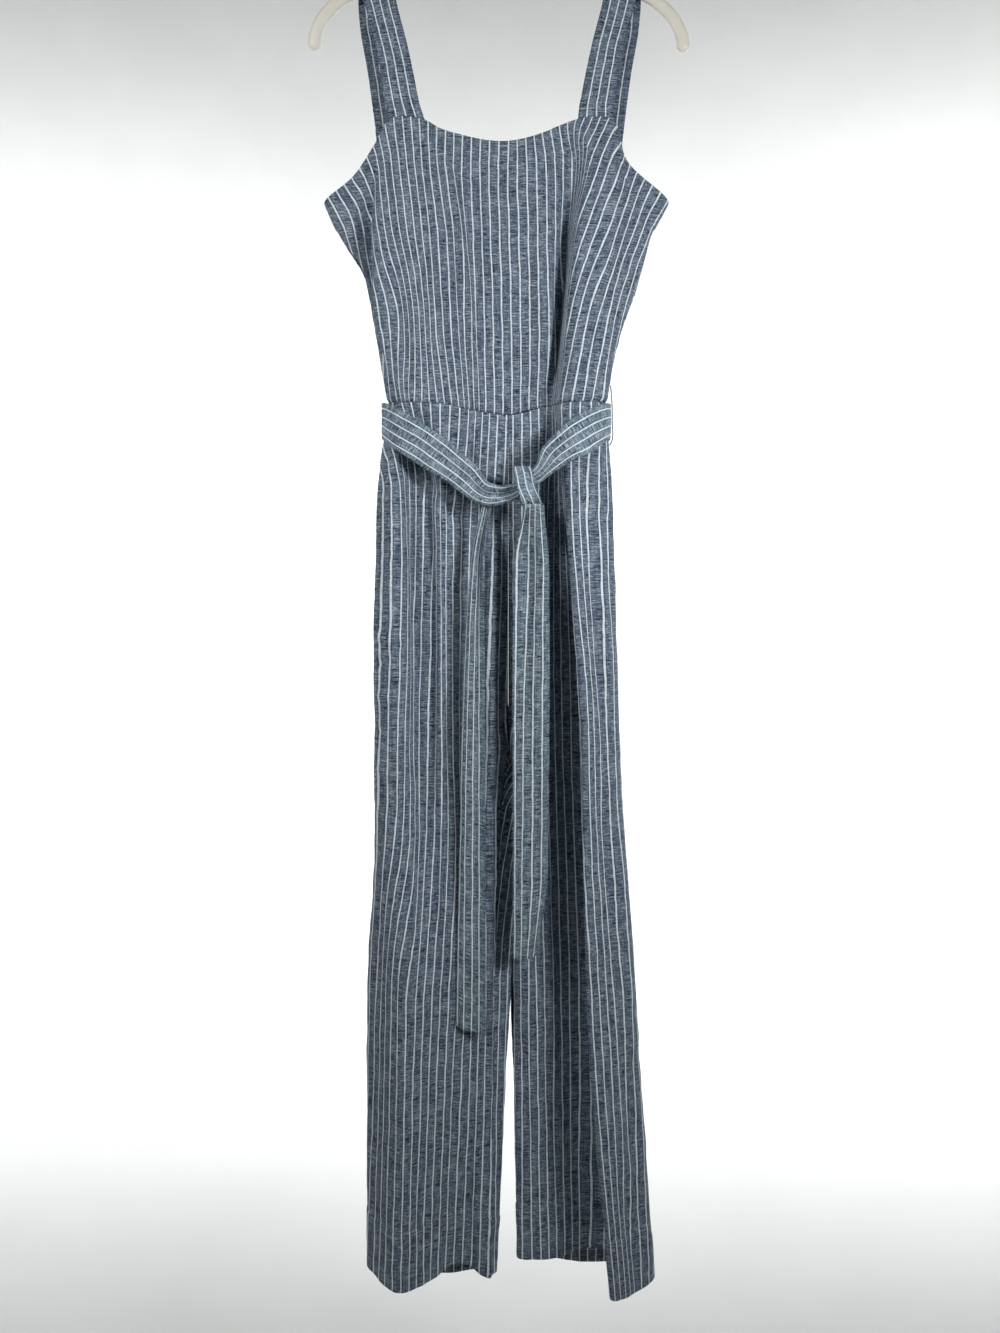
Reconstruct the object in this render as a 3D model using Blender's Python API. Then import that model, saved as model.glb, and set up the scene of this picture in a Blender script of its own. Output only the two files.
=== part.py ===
"""Sleeveless jumpsuit with a tie belt, hanging on a slim plastic hanger.

Frame: origin under the top of the hanger's hook, +Z up, +X to the wearer's
left as the garment faces -Y.  Every table is in millimetres; MM makes metres.
"""
import math

import bmesh
import bpy
from mathutils import Vector

MM = 0.001

# ---------------------------------------------------------------- sizes (mm)
CLOTH_WALL = 1.2        # body cloth and facings pressed together
STRAP_WALL = 1.8        # a strap is two layers of the cloth
BELT_WALL = 1.8         # so is the belt
SEAM_GAP = 0.5          # clear space between two pieces at a seam

CROTCH_SHARE = 0.35     # how far down the leg the centre seam ends

HOOK_WIRE_RADIUS = 2.0
HOOK_INNER_RADIUS = 15.0
HOOK_COLLAR_RADIUS = 5.5
HANGER_ARM_HEIGHT = 14.0
HANGER_ARM_DEPTH = 8.0

# ------------------------------------------------- waist seam, front and back
# x, y, z along the seam from the side at -X to the side at +X
WAIST_FRONT = (
    (-127, 2, -575),
    (-119, -18, -578),
    (-102, -24, -579),
    (-70, -27, -580),
    (-42, -22, -585),
    (-18, -19, -589),
    (9.5, -12, -591),
    (33, -15, -587),
    (50, -11, -582),
    (60, -16, -581),
    (68, -34, -581),
    (90, -41, -581),
    (112, -24, -579),
    (120, 2, -575),
)
WAIST_BACK = (
    (-127, 2, -575),
    (-119, 12, -578),
    (-90, 14, -583),
    (-50, 15, -586),
    (9.5, 13, -588),
    (60, 14, -586),
    (98, 13, -582),
    (114, 11, -578),
    (120, 2, -575),
)

# ------------------------------------------------------------- trouser folds
# A row for each fold line, from the waist to the hem.  x and y are given at
# the seat, the crotch, the thigh, the knee and the hem; the waist takes its y
# from the waist seam.
LEG_STATIONS = (0.0, 0.095, CROTCH_SHARE, 0.45, 0.67, 1.0)
LEG_COLUMNS = (
    "line", "waist_x", "seat_x", "seat_y", "crotch_x", "crotch_y",
    "thigh_x", "thigh_y", "knee_x", "knee_y", "hem_x", "hem_y", "hem_z",
)
LEFT_LEG_FRONT = (
    ("side", -127, -136, 3, -142, 4, -142, 4, -154, 8, -158, 6, -1592),
    ("edge", -125, -137, -12, -144, -14, -144, -13, -155, -9, -159, -12, -1593),
    ("edge_front", -115, -129, -22, -136, -28, -137, -28, -142, -22, -148, -28, -1594),
    ("outer_ridge", -108, -121, -28, -121, -33, -118, -34, -115, -45, -121, -52, -1599),
    ("outer_valley", -93, -97, -12, -92, -9, -90, -10, -83, -34, -78, -29, -1598),
    ("mid_ridge", -68, -67, -26, -63, -22, -60, -22, -52, -28, -56, -14, -1592),
    ("mid_valley", -38, -33, -12, -24, -2, -27, -2, -33, -16, -38, -14, -1592),
    ("inner_ridge", -9, -6, -20, -11, -16, -15, -16, -18, -12, -19, -20, -1602),
    ("centre", 9.5, 9.5, -8, 9.5, 1, 1, -4, -8, -8, -12, -22, -1602),
)
LEFT_LEG_BACK = (
    ("centre", 9.5, 9.5, 14, 9.5, 4, 1, -4, -8, -8, -12, -22, -1602),
    ("inseam_turn", 1, 1, 14, 8, 11, 16, 10, 10.5, 4, -5, -8, -1604),
    ("inner_back", -14, -16, 16, -16, 17, -10, 17, -19, 14, -22, 10, -1614),
    ("centre_back", -52, -55, 14, -59, 20, -62, 21, -65, 21, -67, 16, -1624),
    ("outer_back", -92, -100, 19, -106, 16, -109, 16, -113, 20, -116, 18, -1618),
    ("back_edge", -119, -130, 14, -135, 16, -136, 16, -146, 19, -152, 16, -1600),
    ("side", -127, -136, 3, -142, 4, -142, 4, -154, 8, -158, 6, -1592),
)
RIGHT_LEG_FRONT = (
    ("centre", 9.5, 9.5, -8, 9.5, 1, 19.5, 5, 15.5, 5, 22, 3, -1593),
    ("inner_ridge", 25, 26, -15, 28, -12, 31, -8, 32, -6, 41, -4, -1592),
    ("recess_lip", 46, 46, -10, 47, -4, 49, -2, 57, 2, 68, 2, -1595),
    ("recess_floor", 57, 60, 5, 66, 12, 68, 12, 84, 13, 103, 12, -1588),
    ("recess_back", 61, 76, 5, 103, 12, 107, 12, 114, 13, 137, 9, -1590),
    ("flap_lip", 66, 69, -44, 92, -49, 95, -50, 102, -53, 131, -59, -1604),
    ("flap_middle", 92, 94, -43, 113, -40, 117, -40, 129, -43, 158, -47, -1602),
    ("edge", 117, 126, -13, 136, -16, 141, -16, 158, -18, 181, -30, -1599),
    ("side", 120, 125, 3, 135, 4, 141, 4, 158, 6, 178, 4, -1597),
)
RIGHT_LEG_BACK = (
    ("side", 120, 125, 3, 135, 4, 141, 4, 158, 6, 178, 4, -1597),
    ("back_edge", 114, 120, 14, 131, 17, 137, 18, 153, 19, 171, 17, -1605),
    ("outer_back", 96, 104, 17, 116, 25, 120, 26, 128, 27, 143, 24, -1614),
    ("centre_back", 69, 72, 22, 84, 29, 87, 30, 92, 31, 101, 27, -1617),
    ("inner_back", 41, 44, 18, 45, 23, 46, 25, 45, 24, 52, 22, -1607),
    ("inseam_turn", 23, 22, 14, 19, 12, 22, 15, 20, 14, 26, 14, -1598),
    ("centre", 9.5, 9.5, 14, 9.5, 4, 19.5, 5, 15.5, 5, 22, 3, -1593),
)

# ------------------------------------------------------------- bodice folds
# A row for each fold line, from its place on the top edge (top_z) down to the
# waist seam, which gives the last y and z.
BODICE_STATIONS = (0.0, 0.15, 0.40, 0.70, 1.0)
BODICE_COLUMNS = (
    "line", "top_z", "top_x", "top_y", "chest_x", "chest_y",
    "bust_x", "bust_y", "rib_x", "rib_y", "waist_x",
)
BODICE_FRONT = (
    ("side_left", -358, -194, -2, -180, -2, -149, -2, -138, 0, -127),
    ("wing_left", -331, -161, -8, -153, -9, -140, -8, -133, -13, -122),
    ("wing_fold", -300, -138, -10, -139, -17, -143, -24, -136, -22, -112),
    ("strap_outer_left", -273, -121, -10, -119, -17, -117, -28, -112, -27, -97),
    ("strap_inner_left", -274, -83, -13, -82, -21, -76, -30, -72, -28, -71),
    ("ridge_left", -284, -65, -14, -60, -26, -51, -33, -45, -32, -42),
    ("valley_left", -288.5, -48, -13, -42, -19, -33, -23, -26, -23, -20),
    ("centre", -297, 9.5, -14, 9.5, -25, 9.5, -30, 9.5, -25, 9.5),
    ("ridge_right", -289, 44, -13, 54, -26, 58, -32, 54, -29, 45),
    ("valley_right", -279, 68, -12, 80, -16, 74, -13, 67, -8, 57),
    ("flap_lip", -273, 86, -12, 97, -26, 84, -34, 74, -38, 67),
    ("flap_middle", -273, 123, -10, 121, -24, 111, -35, 98, -42, 89),
    ("wing_right", -312, 137, -9, 141, -17, 132, -25, 119, -31, 108),
    ("side_right", -358, 186, -2, 169, -3, 154, -4, 132, -2, 120),
)
BODICE_BACK = (
    ("side_right", -358, 186, -2, 169, -3, 154, -4, 132, -2, 120),
    ("edge_right", -355, 172, 5, 157, 8, 142, 9, 124, 9, 114),
    ("fold_right", -351, 118, 9, 112, 13, 106, 16, 101, 15, 98),
    ("flat_right", -350, 70, 9, 68, 10, 66, 12, 63, 12, 60),
    ("centre", -350, 9.5, 9, 9.5, 12, 9.5, 15, 9.5, 14, 9.5),
    ("flat_left", -350, -56, 9, -54, 10, -53, 12, -51, 12, -50),
    ("fold_left", -351, -118, 9, -109, 13, -100, 16, -93, 15, -90),
    ("edge_left", -355, -178, 5, -163, 7, -140, 9, -130, 9, -119),
    ("side_left", -358, -194, -2, -180, -2, -149, -2, -138, 0, -127),
)

# ------------------------------------------------------------------- straps
# A strap's centre line from the bodice front, over the hanger arm and down to
# the back edge: x, y, z, width, and rise across it where it lies on the arm.
STRAP_PATH = (
    ("front_seam", -104.0, -11.4, -271.8, 37, 0.0),
    ("front_low", -110.0, -11.0, -240.0, 36, 0.0),
    ("front_mid", -118.5, -10.0, -195.0, 34, 0.04),
    ("front_high", -129.0, -8.6, -155.0, 33, 0.20),
    ("front_top", -134.0, -8.0, -131.0, 33, 0.45),
    ("front_bend", -136.0, -5.6, -118.8, 33, 0.46),
    ("over_arm", -137.5, 0.0, -113.6, 33, 0.46),
    ("back_bend", -139.0, 5.6, -120.2, 33, 0.46),
    ("back_top", -139.5, 8.0, -133.5, 33, 0.45),
    ("back_high", -138.5, 8.4, -155.0, 33, 0.20),
    ("back_mid", -129.0, 8.8, -215.0, 34, 0.04),
    ("back_low", -120.0, 8.8, -280.0, 36, 0.0),
    ("back_edge", -113.0, 9.0, -349.6, 38, 0.0),
)

# --------------------------------------------------------------------- belt
# Centre line of each stretch: x, y, z, width across, lean of the cloth.
BELT_LEFT = (
    ("side", -133.2, 1.0, -596.0, 38),
    ("turn", -129.0, -16.0, -599.0, 39),
    ("hip", -112.0, -33.0, -611.0, 40),
    ("front", -75.0, -38.0, -635.0, 39),
    ("fold", -40.0, -41.0, -661.0, 33),
    ("twist", -14.0, -43.5, -682.0, 25),
    ("into_knot", 7.0, -46.0, -682.0, 19),
    ("inside_knot", 25.0, -50.0, -675.0, 13),
)
BELT_RIGHT = (
    ("inside_knot", 29.0, -50.0, -669.0, 12),
    ("out_of_knot", 42.0, -51.0, -660.6, 17),
    ("front", 62.0, -54.0, -638.0, 32),
    ("hip", 88.0, -54.0, -620.0, 40),
    ("turn", 110.0, -40.0, -606.0, 39),
    ("edge", 121.5, -18.0, -599.0, 38),
    ("side", 124.6, 1.0, -597.5, 38),
)
BELT_BACK = (
    ("side_right", 124.6, 1.5, -597.5, 38),
    ("turn_right", 121.0, 14.0, -598.0, 38),
    ("back_right", 108.0, 20.5, -599.0, 39),
    ("middle_right", 60.0, 24.0, -600.0, 39),
    ("centre", 0.0, 24.0, -600.0, 39),
    ("middle_left", -60.0, 23.0, -599.0, 39),
    ("back_left", -110.0, 23.0, -598.0, 39),
    ("turn_left", -130.0, 15.5, -597.0, 38),
    ("side_left", -133.2, 1.5, -596.0, 38),
)
# Knot: a wrap of the belt around both stretches, then the two tails.
KNOT_WRAP = (
    ("top", 23.5, -50.5, -653.0, 18),
    ("front_high", 25.0, -60.5, -661.0, 19),
    ("front", 28.0, -62.5, -676.0, 19),
    ("front_low", 34.5, -61.5, -691.0, 20),
    ("bottom", 37.0, -54.0, -698.0, 20),
    ("back_low", 32.5, -42.0, -692.0, 19),
    ("back", 27.5, -37.5, -676.0, 19),
    ("back_high", 24.5, -40.5, -661.0, 18),
)
TAIL_LONG_FOLDS = (
    ("inner_edge", 27, -54, 15, -42, 14.5, -38, 15, -35, 15, -33, -1208),
    ("inner_fold", 33, -59, 33, -42, 28, -37, 26, -36, 25, -34, -1208),
    ("outer_fold", 40, -60, 43, -51, 42, -43, 42, -38, 35, -35, -1207),
    ("outer_edge", 47, -56, 53.5, -46, 55, -40, 54, -37, 43, -34, -1203),
)
TAIL_SHORT_FOLDS = (
    ("outer_edge", -18, -40.2, -32, -34, -42, -34, -48, -31, -51, -30, -1288),
    ("outer_fold", -15, -41.0, -28.5, -39, -36, -38, -40, -35, -41, -33, -1293),
    ("inner_fold", -12, -39.0, -24, -31, -27, -33, -28, -31, -29, -30, -1297),
    ("inner_edge", -8, -41.5, -18.5, -37, -17, -37, -17, -34, -17, -32, -1300),
)
TAIL_STATIONS = (0.0, 0.12, 0.40, 0.80, 1.0)
TAIL_COLUMNS = (
    "line", "top_x", "top_y", "upper_x", "upper_y", "mid_x", "mid_y",
    "low_x", "low_y", "end_x", "end_y", "end_z",
)
TAIL_LONG_TOP_Z = -699.8
TAIL_SHORT_TOP_Z = -686.0

# Thread carrier at the side seam: x, y, z from its upper end to its lower end
THREAD_LOOP = (
    ("upper_end", 124.9, 1.0, -556.0),
    ("out", 126.0, 0.6, -566.0),
    ("beside_belt", 127.2, 0.4, -597.0),
    ("in", 127.0, 0.6, -617.5),
    ("lower_end", 124.6, 1.0, -623.0),
)
THREAD_LOOP_RADIUS = 0.8

# Hanger arm from the left tip over the neck to the right tip: x, z
HANGER_PATH = (
    ("tip_left", -204.5, -194.0),
    ("hook_left", -203.8, -181.0),
    ("bend_left", -197.0, -164.0),
    ("rise_left", -182.0, -147.0),
    ("arm_left", -130.0, -121.5),
    ("shoulder_left", -62.0, -93.0),
    ("crest", 0.0, -76.0),
    ("shoulder_right", 62.0, -93.0),
    ("arm_right", 130.0, -121.5),
    ("rise_right", 176.0, -147.0),
    ("bend_right", 192.5, -164.0),
    ("hook_right", 200.5, -182.0),
    ("tip_right", 201.5, -196.0),
)
TIP_END = 0.55          # the arm's tips are rounded to these shares of its section
TIP_SHOULDER = 0.92
HOOK_STEM_FOOT_Z = -68.4
HOOK_COLLAR_TOP_Z = -58.0
# Hook's stem from the arm to the bend: x, z, radius
HOOK_STEM = (
    (0.0, HOOK_STEM_FOOT_Z, HOOK_COLLAR_RADIUS),
    (0.0, HOOK_COLLAR_TOP_Z - 1.5, HOOK_COLLAR_RADIUS),
    (0.0, HOOK_COLLAR_TOP_Z, 2.4),
    (0.0, HOOK_COLLAR_TOP_Z + 3, HOOK_WIRE_RADIUS),
    (0.6, -49, HOOK_WIRE_RADIUS),
    (4.0, -40, HOOK_WIRE_RADIUS),
    (10.5, -31.5, HOOK_WIRE_RADIUS),
)
HOOK_FIRST_DEGREES = -25
HOOK_LAST_DEGREES = 205

# ---------------------------------------------------- how finely it is built
LEG_FRONT_SPAN = 3
LEG_BACK_SPAN = 2
LEG_ROWS = 26
BODICE_FRONT_SPAN = 2
BODICE_BACK_SPAN = 2
BODICE_ROWS = 11
STRAP_ROWS_PER_STEP = 2
BELT_ROWS_PER_STEP = 3
BAND_COLUMNS = 3
TAIL_ROWS = 16
TAIL_SPAN = 2
WRAP_ROWS_PER_STEP = 2
HANGER_SIDES = 12
HANGER_ROWS_PER_STEP = 3
HOOK_SIDES = 10
HOOK_STEP_DEGREES = 15
LOOP_SIDES = 6
LOOP_ROWS_PER_STEP = 3
BELT_BACK_COLUMNS = 2
LEG_ROW_EASE = 1.15     # rows stand a little closer near the waist, where the folds begin

# columns of a band's path
WIDTH_COLUMN = 4
RISE_COLUMN = 5


# ------------------------------------------------------------- curve helpers
def eased(knots, values, place):
    """Monotone cubic through (knots, values): folds drift without overshoot."""
    count = len(knots)
    if place <= knots[0]:
        return values[0]
    if place >= knots[-1]:
        return values[-1]
    steps = [knots[i + 1] - knots[i] for i in range(count - 1)]
    rises = [(values[i + 1] - values[i]) / steps[i] for i in range(count - 1)]
    slopes = [rises[0]]
    for i in range(1, count - 1):
        if rises[i - 1] * rises[i] <= 0:
            slopes.append(0.0)
            continue
        near = 2 * steps[i] + steps[i - 1]
        far = steps[i] + 2 * steps[i - 1]
        slopes.append((near + far) / (near / rises[i - 1] + far / rises[i]))
    slopes.append(rises[-1])
    i = 0
    while place > knots[i + 1]:
        i += 1
    t = (place - knots[i]) / steps[i]
    keep = (1 + 2 * t) * (1 - t) ** 2
    take = t * t * (3 - 2 * t)
    lead = t * (1 - t) ** 2 * steps[i]
    tail = t * t * (t - 1) * steps[i]
    return keep * values[i] + take * values[i + 1] + lead * slopes[i] + tail * slopes[i + 1]


def smooth_line(points, per_span, start_way=None, end_way=None, closed=False):
    """A soft curve through the points; start_way and end_way set its end directions."""
    count = len(points)
    spans = count if closed else count - 1

    def point(i):
        return points[i % count] if closed else points[max(0, min(count - 1, i))]

    def way(i):
        if not closed and i == 0:
            reach = (points[1] - points[0]).length
            return start_way.normalized() * reach if start_way else points[1] - points[0]
        if not closed and i == count - 1:
            reach = (points[-1] - points[-2]).length
            return end_way.normalized() * reach if end_way else points[-1] - points[-2]
        back = max((point(i) - point(i - 1)).length, 1e-6)
        ahead = max((point(i + 1) - point(i)).length, 1e-6)
        mean = ((point(i) - point(i - 1)) * (ahead / back)
                + (point(i + 1) - point(i)) * (back / ahead)) / (back + ahead)
        return mean

    result = []
    for i in range(spans):
        a = point(i)
        b = point(i + 1)
        length = (b - a).length
        way_a = way(i)
        way_b = way(i + 1)
        if not closed and i == 0:
            way_a = way_a / max(length, 1e-6)
        if not closed and i + 1 == count - 1:
            way_b = way_b / max(length, 1e-6)
        for k in range(per_span):
            t = k / per_span
            keep = (1 + 2 * t) * (1 - t) ** 2
            take = t * t * (3 - 2 * t)
            lead = t * (1 - t) ** 2 * length
            tail = t * t * (t - 1) * length
            result.append(a * keep + b * take + way_a * lead + way_b * tail)
    if not closed:
        result.append(points[-1].copy())
    return result


def seam_point(seam, x):
    """y and z of a waist seam at x."""
    knots = [row[0] for row in seam]
    return (eased(knots, [row[1] for row in seam], x),
            eased(knots, [row[2] for row in seam], x))


# ------------------------------------------------------------- solid helpers
def make_material(name, colour, roughness, metallic=0.0):
    material = bpy.data.materials.new(name)
    material.use_nodes = True
    shader = material.node_tree.nodes["Principled BSDF"]
    shader.inputs["Base Color"].default_value = (*colour, 1.0)
    shader.inputs["Roughness"].default_value = roughness
    shader.inputs["Metallic"].default_value = metallic
    material.diffuse_color = (*colour, 1.0)
    return material


def add_object(name, vertices, faces, look):
    mesh = bpy.data.meshes.new(name)
    mesh.from_pydata([tuple(v * MM) for v in vertices], [], faces)
    shape = bmesh.new()
    shape.from_mesh(mesh)
    bmesh.ops.triangulate(shape, faces=shape.faces[:])
    bmesh.ops.recalc_face_normals(shape, faces=shape.faces[:])
    shape.to_mesh(mesh)
    shape.free()
    for polygon in mesh.polygons:
        polygon.use_smooth = True
    item = bpy.data.objects.new(name, mesh)
    bpy.context.scene.collection.objects.link(item)
    colour, roughness, metallic = look
    item.data.materials.append(make_material("mat_" + name, colour, roughness, metallic))
    return item


def grid_normals(grid, ring=False, end_ways=None):
    """A normal for each point of a grid; ring joins the last column to the first.

    end_ways holds the row's direction at its two ends, so that two pieces
    that meet at a seam have the same normal there.
    """
    rows = len(grid)
    columns = len(grid[0])
    normals = []
    for r in range(rows):
        line = []
        for c in range(columns):
            if ring:
                across = grid[r][(c + 1) % columns] - grid[r][c - 1]
            else:
                across = grid[r][min(columns - 1, c + 1)] - grid[r][max(0, c - 1)]
                if end_ways and c == 0:
                    across = end_ways[r][0]
                if end_ways and c == columns - 1:
                    across = end_ways[r][1]
            down = grid[min(rows - 1, r + 1)][c] - grid[max(0, r - 1)][c]
            line.append(across.cross(down).normalized())
        normals.append(line)
    return normals


def cloth_solid(name, grid, wall, look, end_ways=None):
    """A closed wall of even thickness on both sides of a grid of points."""
    rows = len(grid)
    columns = len(grid[0])
    normals = grid_normals(grid, end_ways=end_ways)
    half = wall / 2
    vertices = []
    for side in (1, -1):
        for r in range(rows):
            for c in range(columns):
                vertices.append(grid[r][c] + normals[r][c] * half * side)
    back = rows * columns
    faces = []
    for r in range(rows - 1):
        for c in range(columns - 1):
            a = r * columns + c
            b = a + 1
            e = a + columns
            f = e + 1
            faces.append((a, b, f, e))
            faces.append((back + a, back + e, back + f, back + b))
    for c in range(columns - 1):
        last = (rows - 1) * columns
        faces.append((c, back + c, back + c + 1, c + 1))
        faces.append((last + c, last + c + 1, back + last + c + 1, back + last + c))
    for r in range(rows - 1):
        a = r * columns
        e = a + columns
        g = a + columns - 1
        h = e + columns - 1
        faces.append((a, e, back + e, back + a))
        faces.append((g, back + g, back + h, h))
    return add_object(name, vertices, faces, look)


def tube_solid(name, centres, radii, sides, look):
    """A closed round or oval bar along a line in the XZ plane or near it."""
    rings = []
    count = len(centres)
    for i in range(count):
        way = (centres[min(count - 1, i + 1)] - centres[max(0, i - 1)]).normalized()
        flat = Vector((0, 1, 0))
        side = flat.cross(way).normalized()
        tall, deep = radii[i]
        ring = []
        for k in range(sides):
            angle = 2 * math.pi * k / sides
            ring.append(centres[i] + side * tall * math.cos(angle)
                        + flat * deep * math.sin(angle))
        rings.append(ring)
    vertices = [p for ring in rings for p in ring]
    faces = []
    for i in range(count - 1):
        for k in range(sides):
            a = i * sides + k
            b = i * sides + (k + 1) % sides
            faces.append((a, b, b + sides, a + sides))
    faces.append(tuple(range(sides)))
    faces.append(tuple(range((count - 1) * sides, count * sides)))
    return add_object(name, vertices, faces, look)


# ---------------------------------------------------------------- the pieces
def shortened(row_points, start_way, end_way, gap):
    """Draw the row's two ends in along their own directions."""
    points = [p.copy() for p in row_points]
    points[0] = points[0] + start_way.normalized() * gap
    points[-1] = points[-1] - end_way.normalized() * gap
    return points


def leg_grid(lines, seam, start_side, front):
    """Rows of points for one trouser panel, from the waist seam to the hem."""
    grid = []
    end_ways = []
    half_gap = SEAM_GAP / 2
    span = LEG_FRONT_SPAN if front else LEG_BACK_SPAN
    for r in range(LEG_ROWS + 1):
        share = (r / LEG_ROWS) ** LEG_ROW_EASE
        row = []
        for line in lines:
            cell = dict(zip(LEG_COLUMNS, line))
            top_y, top_z = seam_point(seam, cell["waist_x"])
            xs = [cell[k] for k in ("waist_x", "seat_x", "crotch_x", "thigh_x", "knee_x", "hem_x")]
            ys = [top_y] + [cell[k] for k in ("seat_y", "crotch_y", "thigh_y", "knee_y", "hem_y")]
            top_z = top_z - half_gap
            row.append(Vector((eased(LEG_STATIONS, xs, share), eased(LEG_STATIONS, ys, share),
                               top_z + (cell["hem_z"] - top_z) * share)))
        # the side seam runs straight back; the centre seam runs across above the
        # crotch and turns back as the inseam below it
        turn = 0.0 if share <= CROTCH_SHARE else 1.0
        backward = Vector((0, 1 if front else -1, 0))
        to_right = 1 if lines[-1][1] > lines[0][1] else -1
        inward = to_right if start_side else -to_right
        centre = Vector((inward * (1 - turn), 0, 0)) + backward * turn
        if start_side:
            start, end = -backward, centre
        else:
            start, end = -centre, backward
        points = smooth_line(row, span, start, end)
        grid.append(shortened(points, start, end, half_gap))
        end_ways.append((start, end))
    return grid, end_ways


def bodice_grid(lines, seam, front):
    """Rows of points for a bodice panel, from its top edge to the waist seam."""
    grid = []
    end_ways = []
    half_gap = SEAM_GAP / 2
    span = BODICE_FRONT_SPAN if front else BODICE_BACK_SPAN
    for r in range(BODICE_ROWS + 1):
        share = r / BODICE_ROWS
        row = []
        for line in lines:
            cell = dict(zip(BODICE_COLUMNS, line))
            waist_y, waist_z = seam_point(seam, cell["waist_x"])
            waist_z = waist_z + half_gap
            xs = [cell[k] for k in ("top_x", "chest_x", "bust_x", "rib_x", "waist_x")]
            ys = [cell[k] for k in ("top_y", "chest_y", "bust_y", "rib_y")] + [waist_y]
            row.append(Vector((eased(BODICE_STATIONS, xs, share),
                               eased(BODICE_STATIONS, ys, share),
                               cell["top_z"] + (waist_z - cell["top_z"]) * share)))
        start = Vector((0, -1, 0)) if front else Vector((0, 1, 0))
        points = smooth_line(row, span, start, -start)
        grid.append(shortened(points, start, -start, half_gap))
        end_ways.append((start, -start))
    return grid, end_ways


def band_grid(path, rows_per_step, columns, closed=False, cross_way=None,
              start_way=None, end_way=None):
    """A flat band along a path of (name, x, y, z, width, rise), its face turned outward.

    Where cross_way is given the band runs across in that direction, and rise
    tips it by that much of its width.
    """
    centres = smooth_line([Vector(row[1:4]) for row in path], rows_per_step,
                          start_way, end_way, closed)
    steps = len(path) if closed else len(path) - 1

    def along(column, i):
        place = i / rows_per_step
        low = int(min(place, steps - 1e-9))
        t = place - low
        ease = t * t * (3 - 2 * t)
        return path[low][column] * (1 - ease) + path[(low + 1) % len(path)][column] * ease

    grid = []
    count = len(centres)
    for i in range(count):
        if closed:
            way = centres[(i + 1) % count] - centres[i - 1]
        else:
            way = centres[min(count - 1, i + 1)] - centres[max(0, i - 1)]
        if start_way and i == 0:
            way = start_way.copy()
        if end_way and i == count - 1:
            way = end_way.copy()
        way.normalize()
        if cross_way:
            across = Vector(cross_way)
            if len(path[0]) > RISE_COLUMN:
                across.z = along(RISE_COLUMN, i)
        else:
            outward = Vector((way.y, -way.x, 0)).normalized()
            across = outward.cross(way).normalized()
            if across.z < 0:
                across = -across
        row = []
        for c in range(columns + 1):
            row.append(centres[i] + across * along(WIDTH_COLUMN, i) * (c / columns - 0.5))
        grid.append(row)
    return grid


def tail_grid(lines, top_z):
    """Rows of points for a hanging belt tail with its lengthwise folds."""
    grid = []
    for r in range(TAIL_ROWS + 1):
        share = r / TAIL_ROWS
        row = []
        for line in lines:
            cell = dict(zip(TAIL_COLUMNS, line))
            xs = [cell[k] for k in ("top_x", "upper_x", "mid_x", "low_x", "end_x")]
            ys = [cell[k] for k in ("top_y", "upper_y", "mid_y", "low_y", "end_y")]
            row.append(Vector((eased(TAIL_STATIONS, xs, share),
                               eased(TAIL_STATIONS, ys, share),
                               top_z + (cell["end_z"] - top_z) * share)))
        grid.append(smooth_line(row, TAIL_SPAN))
    return grid


def mirrored(path, shift):
    """The same strap on the other side of the hanger, moved by shift."""
    return tuple((row[0], shift - row[1]) + tuple(row[2:5]) + (-row[5],) for row in path)


def ring_band(name, grid, wall, look):
    """A band that closes on itself, as a ring with a hole through it."""
    rows = len(grid)
    columns = len(grid[0])
    turned = [[grid[r][c] for r in range(rows)] for c in range(columns)]
    normals = grid_normals(turned, ring=True)
    half = wall / 2
    vertices = []
    for side in (1, -1):
        for c in range(columns):
            for r in range(rows):
                vertices.append(turned[c][r] + normals[c][r] * half * side)
    back = rows * columns
    faces = []
    for c in range(columns - 1):
        for r in range(rows):
            a = c * rows + r
            b = c * rows + (r + 1) % rows
            faces.append((a, b, b + rows, a + rows))
            faces.append((back + a, back + a + rows, back + b + rows, back + b))
    last = (columns - 1) * rows
    for r in range(rows):
        b = (r + 1) % rows
        faces.append((r, back + r, back + b, b))
        faces.append((last + r, last + b, back + last + b, back + last + r))
    return add_object(name, vertices, faces, look)


def build_hanger():
    ivory = ((0.80, 0.77, 0.68), 0.45, 0.0)
    steel = ((0.62, 0.63, 0.65), 0.28, 1.0)
    path = [Vector((row[1], 0, row[2])) for row in HANGER_PATH]
    centres = smooth_line(path, HANGER_ROWS_PER_STEP)
    tall = HANGER_ARM_HEIGHT / 2
    deep = HANGER_ARM_DEPTH / 2
    radii = [(tall, deep)] * len(centres)
    for end, inward in ((0, 1), (len(centres) - 1, -1)):
        radii[end] = (tall * TIP_END, deep * TIP_END)
        radii[end + inward] = (tall * TIP_SHOULDER, deep * TIP_SHOULDER)
    tube_solid("hanger_body", centres, radii, HANGER_SIDES, ivory)

    middle = HOOK_INNER_RADIUS + HOOK_WIRE_RADIUS
    centre_z = -HOOK_INNER_RADIUS
    line = list(HOOK_STEM)
    for degrees in range(HOOK_FIRST_DEGREES, HOOK_LAST_DEGREES + 1, HOOK_STEP_DEGREES):
        angle = math.radians(degrees)
        line.append((middle * math.cos(angle), centre_z + middle * math.sin(angle),
                     HOOK_WIRE_RADIUS))
    centres = [Vector((x, 0, z)) for x, z, _ in line]
    radii = [(radius, radius) for _, _, radius in line]
    tube_solid("hanger_hook", centres, radii, HOOK_SIDES, steel)


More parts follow.
